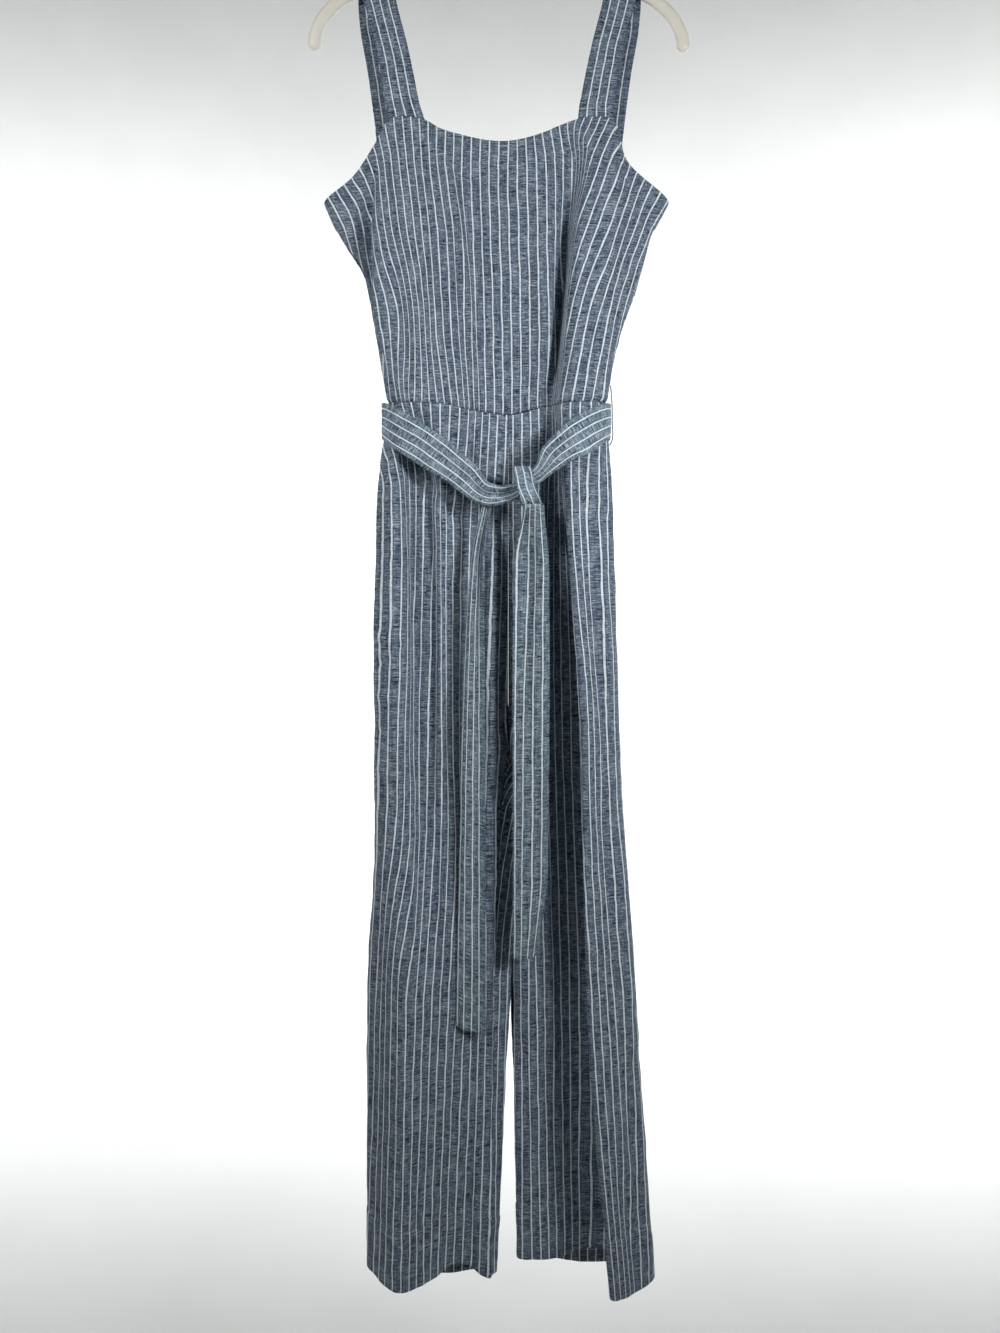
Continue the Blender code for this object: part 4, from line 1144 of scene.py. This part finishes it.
STRIPE_HALF = 0.82                      # half a stripe's width, mm
STRIPE_EDGE = 0.10                      # softness of its edge, mm
STRIPE_SHADE = 1.2                      # reach of the darker cloth beside it, mm
STRIPE_SHADE_TONE = 0.24
STRIPE_GRAIN = (-0.3, 0.3, 0.88, 1.0)   # range of the grain, and the stripe's share there
WEAVE_PITCH = 0.9                       # one thread over and one under, mm
WEAVE_HEIGHT = 0.25
SLUB_HEIGHT = 0.9
LINEN_BUMP = (0.00025, 0.6)             # depth in metres, and strength


def linen(name, tint):
    """Slubby blue-grey linen; its white warp stripes follow each point's cloth place."""
    look = Shader(name, 0.88)
    source = look.nodes.new("ShaderNodeAttribute")
    source.attribute_name = "cloth"
    split = look.nodes.new("ShaderNodeSeparateXYZ")
    look.put(split, 0, source.outputs["Vector"])
    across, down, layer = split.outputs
    noise = {}
    fleck = {}
    for kind, (x_scale, y_scale, shift, detail, roughness, *ramp) in FLECKS.items():
        place = look.place(look.times(across, x_scale), look.times(down, y_scale),
                           look.add(layer, shift))
        noise[kind] = look.noise(place, detail, roughness)
        fleck[kind] = look.ramp(noise[kind], *ramp)

    # white stripes: a few warp threads, a little uneven along their length
    phase = look.math("DIVIDE", look.add(across, fleck["stripe_drift"]), STRIPE_PITCH)
    phase = look.math("FRACT", look.add(phase, 0.5))
    away = look.math("ABSOLUTE", look.math("SUBTRACT", phase, 0.5))
    away = look.times(away, STRIPE_PITCH)
    stripe = look.ramp(look.add(away, fleck["stripe_rag"]), STRIPE_HALF - STRIPE_EDGE,
                       STRIPE_HALF + STRIPE_EDGE, 1.0, 0.0)
    stripe = look.times(stripe, fleck["stripe_wear"])
    beside = look.ramp(away, STRIPE_HALF + STRIPE_EDGE, STRIPE_HALF + STRIPE_SHADE,
                       STRIPE_SHADE_TONE, 0.0)

    # weft slubs lie across, warp slubs run down
    tone = look.add(look.add(fleck["warp"], fleck["grain"]), fleck["broad"])
    tone = look.add(tone, GROUND_TONE)
    for kind, gain in WEFT_TONES.items():
        tone = look.add(tone, look.times(fleck[kind], gain))
    tone = look.math("SUBTRACT", tone, beside, clamp=True)
    dark, middle, pale = (tuple(c * t for c, t in zip(shade, tint))
                          for shade in (LINEN_DARK, LINEN_MID, LINEN_PALE))
    low = look.mix(look.ramp(tone, 0.0, 0.5, smooth=False), dark, middle)
    ground = look.mix(look.ramp(tone, 0.5, 1.0, smooth=False), low, pale)
    crossed = look.times(stripe, look.ramp(fleck["grain"], *STRIPE_GRAIN))

    # plain weave over the slubs' own height
    thread = 2 * math.pi / WEAVE_PITCH
    weave = look.times(look.math("SINE", look.times(across, thread)),
                       look.math("SINE", look.times(down, thread)))
    slubs = look.add(noise["pale_weft"], fleck["grain"])
    height = look.add(look.times(weave, WEAVE_HEIGHT), look.times(slubs, SLUB_HEIGHT))
    look.bump(height, *LINEN_BUMP)
    look.tune({"Base Color": look.mix(crossed, ground, STRIPE_WHITE), "Sheen Weight": 0.05,
               "Sheen Roughness": 0.45, "Sheen Tint": (0.80, 0.87, 1.0, 1.0),
               "Specular IOR Level": 0.22})
    return look.material


NOISE_MIDDLE = (0.35, 0.65)             # ranges of noise that a ramp spreads out
NOISE_BROAD = (0.3, 0.7)
THREAD_BUMP = (0.00015, 0.6)
BELT_THREAD = ((0.20, 0.24, 0.32), (0.05, 0.07, 0.11))
HEM_THREAD = ((0.30, 0.35, 0.42), (0.16, 0.20, 0.27))


def sewing_thread(name, pale, deep):
    look = Shader(name, 0.7)
    strands = look.object_noise((900, 900, 2600))
    look.bump(strands, *THREAD_BUMP)
    look.tune({"Base Color": look.mix(look.ramp(strands, *NOISE_MIDDLE), deep, pale),
               "Sheen Weight": 0.2})
    return look.material


IVORY_DEEP = (0.88, 0.83, 0.72)
IVORY_PALE = (0.94, 0.90, 0.81)
IVORY_SCUFFED = (0.78, 0.73, 0.63)
IVORY_SCUFFS = (0.62, 0.80)
IVORY_ROUGHNESS = (0.30, 0.75, 0.30, 0.55)
IVORY_BUMP = (0.00005, 0.5)


def ivory_plastic():
    look = Shader("ivory_plastic", 0.42)
    mottle = look.object_noise((14, 14, 14), 4.0)
    scuff = look.object_noise((260, 260, 40), 3.0, 0.7)
    colour = look.mix(look.ramp(mottle, *NOISE_MIDDLE), IVORY_DEEP, IVORY_PALE)
    look.bump(scuff, *IVORY_BUMP)
    scuffs = look.ramp(scuff, *IVORY_SCUFFS)
    look.tune({"Base Color": look.mix(scuffs, colour, IVORY_SCUFFED),
               "Roughness": look.ramp(scuff, *IVORY_ROUGHNESS),
               "Coat Weight": 0.15, "Coat Roughness": 0.25})
    return look.material


STEEL_DARK = (0.52, 0.53, 0.55)
STEEL_PALE = (0.72, 0.73, 0.75)
STEEL_ROUGHNESS = (0.18, 0.36)
STEEL_BUMP = (0.00003, 0.5)


def steel_wire():
    look = Shader("steel_wire", 0.25, 1.0)
    drawn = look.object_noise((700, 700, 60), 3.0, 0.6)
    look.bump(drawn, *STEEL_BUMP)
    shade = look.ramp(drawn, *NOISE_BROAD)
    look.tune({"Base Color": look.mix(shade, STEEL_DARK, STEEL_PALE),
               "Roughness": look.ramp(drawn, *NOISE_BROAD, *STEEL_ROUGHNESS)})
    return look.material


WALL_DARK = (0.52, 0.52, 0.51)
WALL_PALE = (0.54, 0.54, 0.53)


def pale_wall():
    look = Shader("studio_white", 0.9)
    mottle = look.object_noise((3, 3, 3), 3.0)
    shade = look.ramp(mottle, *NOISE_BROAD)
    look.tune({"Base Color": look.mix(shade, WALL_DARK, WALL_PALE)})
    return look.material


# -------------------------------------------------------------- the garment
def panel_place(across, grid, layer):
    """Flat cloth places of a panel: its stripes run down, at their distance across."""
    return np.stack([across, -grid[..., 2], np.full(across.shape, layer)], axis=2)


def leg_piece(name, lines, seam, creases, layer, cloth):
    """One trouser panel, and the line and its outward ways for the hem's stitches."""
    front = name in COUNTS
    grid, ends, share = leg_panel(lines, seam, front)
    if front:
        across = counted_across(grid, LEG_SPAN, share, LEG_STATIONS, COUNTS[name])
    else:
        across = back_across(grid, share, lines[0][0] == "side")
    place = panel_place(across, grid, layer)
    drop = path_length(grid).mean(axis=1)
    above = drop[-1] - drop
    lift = crease_lift(grid, creases)
    lift += smoothstep(0, LEG_CALM, drop)[:, None] * crinkle(place, layer, LEG_CRINKLE)
    lift += seam_groove(share * drop[-1])[:, None]
    # hem: a stitch groove, small pulls along it, and two layers below
    hem = smoothstep(*HEM_STEP, above)
    pulls = soft_noise(across / HEM_PULL_PITCH, np.zeros_like(across), layer + HEM_SEED)
    lift += (HEM_SWELL * hem + ridge(above, *HEM_GROOVE))[:, None]
    lift += pulls * ridge(above, *HEM_PULLS)[:, None]
    wall = (CLOTH_WALL + (HEM_WALL - CLOTH_WALL) * hem)[:, None]
    piece = shell(name, grid, lift, wall, place, cloth, LEG_RIMS, ends)
    row = int(np.argmin(np.abs(above - HEM_DEPTH)))
    out = -grid_normals(grid, ends)[row]
    on_cloth = grid[row] + out * (lift[row][:, None] + CLOTH_WALL / 2 + STITCH_CLEAR)
    return piece, on_cloth, out


def bodice_piece(name, lines, seam, span, creases, layer, cloth):
    """One bodice panel, and its top edge."""
    front = name in COUNTS
    grid, ends, share = bodice_panel(lines, seam, front, span)
    if front:
        across = counted_across(grid, span, share, BODICE_STATIONS, COUNTS[name])
    else:
        across = measured_across(grid, grid.shape[1] // 2, 0.0)
    place = panel_place(across, grid, layer)
    drop = path_length(grid)
    lift = crease_lift(grid, creases)
    lift += smoothstep(0, BODICE_CALM, drop) * crinkle(place, layer, BODICE_CRINKLE)
    # the facing makes the cloth stand a little prouder beside the top edge
    lift += FACING_RISE * (1 - smoothstep(*FACING_RISE_STEP, drop))
    lift += seam_groove((1 - share) * drop[-1].mean())[:, None]
    lift += ridge(drop, *NECK_FOLD)
    wall = CLOTH_WALL + FACING_WALL * (1 - smoothstep(*FACING_WALL_STEP, drop))
    return shell(name, grid, lift, wall, place, cloth, BODICE_RIMS, ends), grid[0]


def strap_piece(name, path, edge, layer, cloth):
    """One strap, which starts on the bodice's own top edge."""
    grid, _ = band_form(path, level=True)
    stops = np.linspace(0, BODICE_SPAN, BAND_COLUMNS + 1)
    edge = along_line(stops, np.arange(BODICE_SPAN + 1), edge) + (0, 0, SEAM_GAP)
    merge = BAND_STEP // 2
    fade = (1 - np.arange(merge) / merge)[:, None, None]
    grid[:merge] += fade * (edge - grid[0])
    place = band_place(grid, STRAP_CLOTH_WIDTH, STRAP_FIRST_STRIPE, layer)
    lift = crinkle(place, layer, STRAP_CRINKLE)
    lift += ridge(path_length(grid), *STRAP_SEAM_DIP)
    from_edge = 1 - np.abs(np.linspace(-1, 1, BAND_COLUMNS + 1))
    lift += ridge(from_edge, *STRAP_EDGE_FOLD) - STRAP_SINK
    return shell(name, grid, lift, BAND_WALL, place, cloth, STRAP_RIMS)


def belt_piece(name, path, sections, ends, width, layer, cloth):
    grid, steps = band_form(path, ends)
    place = band_place(grid, width, BELT_FIRST_STRIPE, layer)
    lift = crinkle(place, layer, BELT_CRINKLE)
    if sections:
        lift += section_lift(sections, steps)
    return shell(name, grid, lift, BAND_WALL, place, cloth, BELT_RIMS)


def knot_piece(name, layer, cloth):
    grid, steps = band_form(KNOT_WRAP, closed=True, level=True)
    place = band_place(grid, KNOT_CLOTH_WIDTH, KNOT_FIRST_STRIPE, layer)
    lift = section_lift(KNOT_SECTIONS, steps)
    return shell(name, grid, lift, BAND_WALL, place, cloth, KNOT_RIMS, ring=True)


def tail_piece(name, lines, top_z, layer, cloth):
    grid = tail_form(lines, top_z)
    if name == "belt_tail_long":
        # the wrap turns straight into the long tail
        rise = 1 - smoothstep(0, KNOT_TAIL_REACH, path_length(grid))
        grid[..., 2] += KNOT_TAIL_RISE * rise
        grid[..., 1] += (KNOT_TAIL_Y - grid[..., 1]) * rise
    place = band_place(grid, BELT_CLOTH_WIDTH, TAIL_FIRST_STRIPE, layer)
    lift = crinkle(place, layer, TAIL_CRINKLE)
    return shell(name, grid, lift, BAND_WALL, place, cloth, TAIL_RIMS)


def garment(cloth, belt_cloth, tail_cloth, thread):
    """Every piece of cloth and the hems' stitches, by name.

    The last number of each row is the piece's layer, its own part of the noise.
    """
    pieces = {}
    hem_lines = {}
    for row in (
            ("trouser_front_left", LEFT_LEG_FRONT, WAIST_FRONT, LEG_LEFT_FRONT_CREASES, 0),
            ("trouser_front_right", RIGHT_LEG_FRONT, WAIST_FRONT, LEG_RIGHT_FRONT_CREASES, 50),
            ("trouser_back_left", LEFT_LEG_BACK, WAIST_BACK, LEG_BACK_LEFT_CREASES, 100),
            ("trouser_back_right", RIGHT_LEG_BACK, WAIST_BACK, LEG_BACK_RIGHT_CREASES, 150)):
        pieces[row[0]], line, outward = leg_piece(*row, cloth)
        hem_lines[row[0]] = (line, outward)

    pieces["bodice_front"], top_edge = bodice_piece(
        "bodice_front", BODICE_FRONT, WAIST_FRONT, BODICE_SPAN, BODICE_FRONT_CREASES, 200, cloth)
    pieces["bodice_back"], _ = bodice_piece(
        "bodice_back", BODICE_BACK, WAIST_BACK, BACK_SPAN, BODICE_BACK_CREASES, 250, cloth)
    folds = [line[0] for line in BODICE_FRONT]
    for name, path, fold, layer in (
            ("strap_left", STRAP_PATH, "strap_outer_left", 300),
            ("strap_right", mirrored(STRAP_PATH, -1.0), "flap_lip", 320)):
        first = folds.index(fold) * BODICE_SPAN
        edge = top_edge[first:first + BODICE_SPAN + 1]
        pieces[name] = strap_piece(name, path, edge, layer, cloth)

    forward = np.array([[0.0, -1.0, 0.0]])
    for row in (
            ("belt_left", BELT_LEFT, BELT_LEFT_SECTIONS, (forward, None),
             BELT_CLOTH_WIDTH, 340),
            ("belt_right", BELT_RIGHT, BELT_RIGHT_SECTIONS, (None, -forward),
             BELT_CLOTH_WIDTH, 360),
            ("belt_back", BELT_BACK, None, (-forward, forward), BELT_BACK_CLOTH_WIDTH, 380)):
        pieces[row[0]] = belt_piece(*row, belt_cloth)
    pieces["belt_knot"] = knot_piece("belt_knot", 400, belt_cloth)
    for row in (("belt_tail_long", TAIL_LONG_FOLDS, TAIL_LONG_TOP_Z, 420),
                ("belt_tail_short", TAIL_SHORT_FOLDS, TAIL_SHORT_TOP_Z, 440)):
        pieces[row[0]] = tail_piece(*row, tail_cloth)

    for leg, (line, outward) in hem_lines.items():
        name = leg.replace("trouser", "hem_stitches")
        pieces[name] = stitches(name, line, outward, thread)
    return pieces


# --------------------------------------------------------------- the hanger
def hanger_body(plastic):
    """The moulded arms, with rounded ends."""
    centres = smooth_line([[(x, 0, z)] for _, x, z in HANGER_PATH], HANGER_STEP)[:, 0]
    reach = path_length(centres)
    from_end = np.minimum(reach, reach[-1] - reach)
    short = 1 - np.clip(from_end / HANGER_TIP, 0, 1)
    tip = np.sqrt(np.clip(1 - short ** 2, HANGER_TIP_LEAST, 1))
    radii = tip[:, None] * (HANGER_ARM_HEIGHT / 2, HANGER_ARM_DEPTH / 2)
    return tube("hanger_body_moulded", centres, radii, HANGER_SIDES, plastic)


def hanger_hook(wire):
    """Collar, stem, bend and round hook as one bar, from rows of x, z and radius."""
    middle = HOOK_INNER_RADIUS + HOOK_WIRE_RADIUS
    centre_z = -HOOK_INNER_RADIUS
    line = []
    for start, rows, radius in ((HOOK_STEM_FOOT_Z, COLLAR_FOOT, HOOK_COLLAR_RADIUS),
                                (HOOK_COLLAR_TOP_Z, COLLAR_SHOULDER, HOOK_COLLAR_RADIUS),
                                (HOOK_COLLAR_TOP_Z, STEM_FOOT, HOOK_WIRE_RADIUS)):
        line += [(0.0, start + rise, radius * share) for rise, share in rows]
    bend = smooth_line([[(x, 0, centre_z + z)] for x, z in HOOK_BEND], HOOK_BEND_STEP)[:-1, 0]
    line += [(x, z, HOOK_WIRE_RADIUS) for x, _, z in bend]
    for degrees in range(*HOOK_DEGREES):
        angle = math.radians(degrees)
        line.append((middle * math.cos(angle), centre_z + middle * math.sin(angle),
                     HOOK_WIRE_RADIUS))
    tip_x, tip_z, share = HOOK_TIP
    line.append((line[-1][0] + tip_x, line[-1][1] + tip_z, HOOK_WIRE_RADIUS * share))
    centres = np.array([(x, 0, z) for x, z, _ in line])
    radii = np.array([(radius, radius) for _, _, radius in line])
    return tube("hanger_hook_wire", centres, radii, HOOK_SIDES, wire)


cloth_look = linen("striped_linen", CLOTH_TINT)
# the belt's paler linen holds painted light as well as its own paler tint
belt_look = linen("striped_linen_belt", BELT_TINT_AND_LIGHT)
thread_look = sewing_thread("belt_thread", *BELT_THREAD)
stitch_look = sewing_thread("hem_thread", *HEM_THREAD)
tail_look = linen("striped_linen_tails", TAIL_TINT)
pieces = garment(cloth_look, belt_look, tail_look, stitch_look)
pieces["belt_loop_right"] = twisted_thread("belt_loop_right_thread", THREAD_LOOP, thread_look)
pieces["hanger_body"] = hanger_body(ivory_plastic())
pieces["hanger_hook"] = hanger_hook(steel_wire())

for name, piece in pieces.items():
    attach(piece, "root")
    if name.startswith("hem_stitches"):
        continue
    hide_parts(name)


# ------------------------------------------- stage, lights and camera (metres)
FLOOR_Z = -2.0
FLOOR_STEPS = 6
WALL_RADIUS = 3.6
WALL_TOP = 2.6
WALL_SIDES = 96
COVE_RADIUS = 0.9
COVE_STEPS = 12


def studio():
    """A pale floor that curves up into a round pale wall."""
    flat = WALL_RADIUS - COVE_RADIUS
    profile = [(flat * k / FLOOR_STEPS, FLOOR_Z) for k in range(1, FLOOR_STEPS + 1)]
    for k in range(1, COVE_STEPS + 1):
        angle = math.pi / 2 * k / COVE_STEPS
        profile.append((flat + COVE_RADIUS * math.sin(angle),
                        FLOOR_Z + COVE_RADIUS * (1 - math.cos(angle))))
    profile.append((WALL_RADIUS, WALL_TOP))
    vertices = [(0.0, 0.0, FLOOR_Z)]
    faces = []
    for i, (radius, z) in enumerate(profile):
        for k in range(WALL_SIDES):
            angle = 2 * math.pi * k / WALL_SIDES
            vertices.append((radius * math.cos(angle), radius * math.sin(angle), z))
            a = 1 + i * WALL_SIDES + k
            b = 1 + i * WALL_SIDES + (k + 1) % WALL_SIDES
            faces.append((a - WALL_SIDES, a, b, b - WALL_SIDES) if i else (0, a, b))
    cove = make_mesh("studio_cove", np.array(vertices) / MM, faces, pale_wall())


LIGHT_COLOUR = (0.965, 0.985, 1.0)
AIR_COLOUR = (0.95, 0.97, 1.0, 1.0)
AIR_STRENGTH = 0.04
# name, place, target, side, watts and spread in degrees
LIGHTS = (
    ("key_right", (0.90, -1.00, -0.40), (0.0, 0.0, -0.75), 0.30, 3.8, 100),
    ("key_left", (-0.90, -1.00, 0.15), (0.0, 0.0, -0.60), 0.30, 1.9, 100),
    ("rake_left", (-1.35, -0.65, -0.50), (0.0, 0.0, -0.70), 0.30, 1.2, 100),
    ("wall_left", (-1.3, 1.0, 0.1), (-1.0, 3.6, -1.2), 1.1, 112, 180),
    ("wall_right", (1.3, 1.0, 0.1), (1.2, 3.6, -1.2), 1.1, 136, 180),
)


def area_light(name, place, target, side, watts, spread):
    data = bpy.data.lights.new(name, "AREA")
    data.shape = "SQUARE"
    data.size = side
    data.energy = watts
    data.color = LIGHT_COLOUR
    data.spread = math.radians(spread)
    lamp = bpy.data.objects.new(name, data)
    bpy.context.scene.collection.objects.link(lamp)
    lamp.location = place
    aim = np.array(target) - np.array(place)
    flat = math.hypot(aim[0], aim[1])
    lamp.rotation_euler = (math.atan2(flat, -aim[2]), 0, math.atan2(-aim[0], aim[1]))
    lamp.visible_camera = False


studio()
for light in LIGHTS:
    area_light(*light)

world = bpy.data.worlds.new("studio_air")
bpy.context.scene.world = world
world.use_nodes = True
air = world.node_tree.nodes["Background"]
air.inputs["Color"].default_value = AIR_COLOUR
air.inputs["Strength"].default_value = AIR_STRENGTH
bpy.context.scene.view_settings.view_transform = "Standard"

# the picture is 1333 pixels high, and the focal length is 990 of its pixels
IMAGE_HEIGHT = 1333
FOCAL_PIXELS = 990
SENSOR = 36.0                           # mm
CAMERA_PLACE = (0.0, -1.140, -0.785)
CAMERA_TILT = 4.5                       # degrees down
lens = bpy.data.cameras.new("camera")
lens.sensor_fit = "VERTICAL"
lens.sensor_height = SENSOR
lens.sensor_width = SENSOR
lens.lens = FOCAL_PIXELS / IMAGE_HEIGHT * SENSOR
lens.clip_start = 0.05
camera = bpy.data.objects.new("camera", lens)
bpy.context.scene.collection.objects.link(camera)
camera.location = CAMERA_PLACE
camera.rotation_euler = (math.radians(90 - CAMERA_TILT), 0, 0)
bpy.context.scene.camera = camera
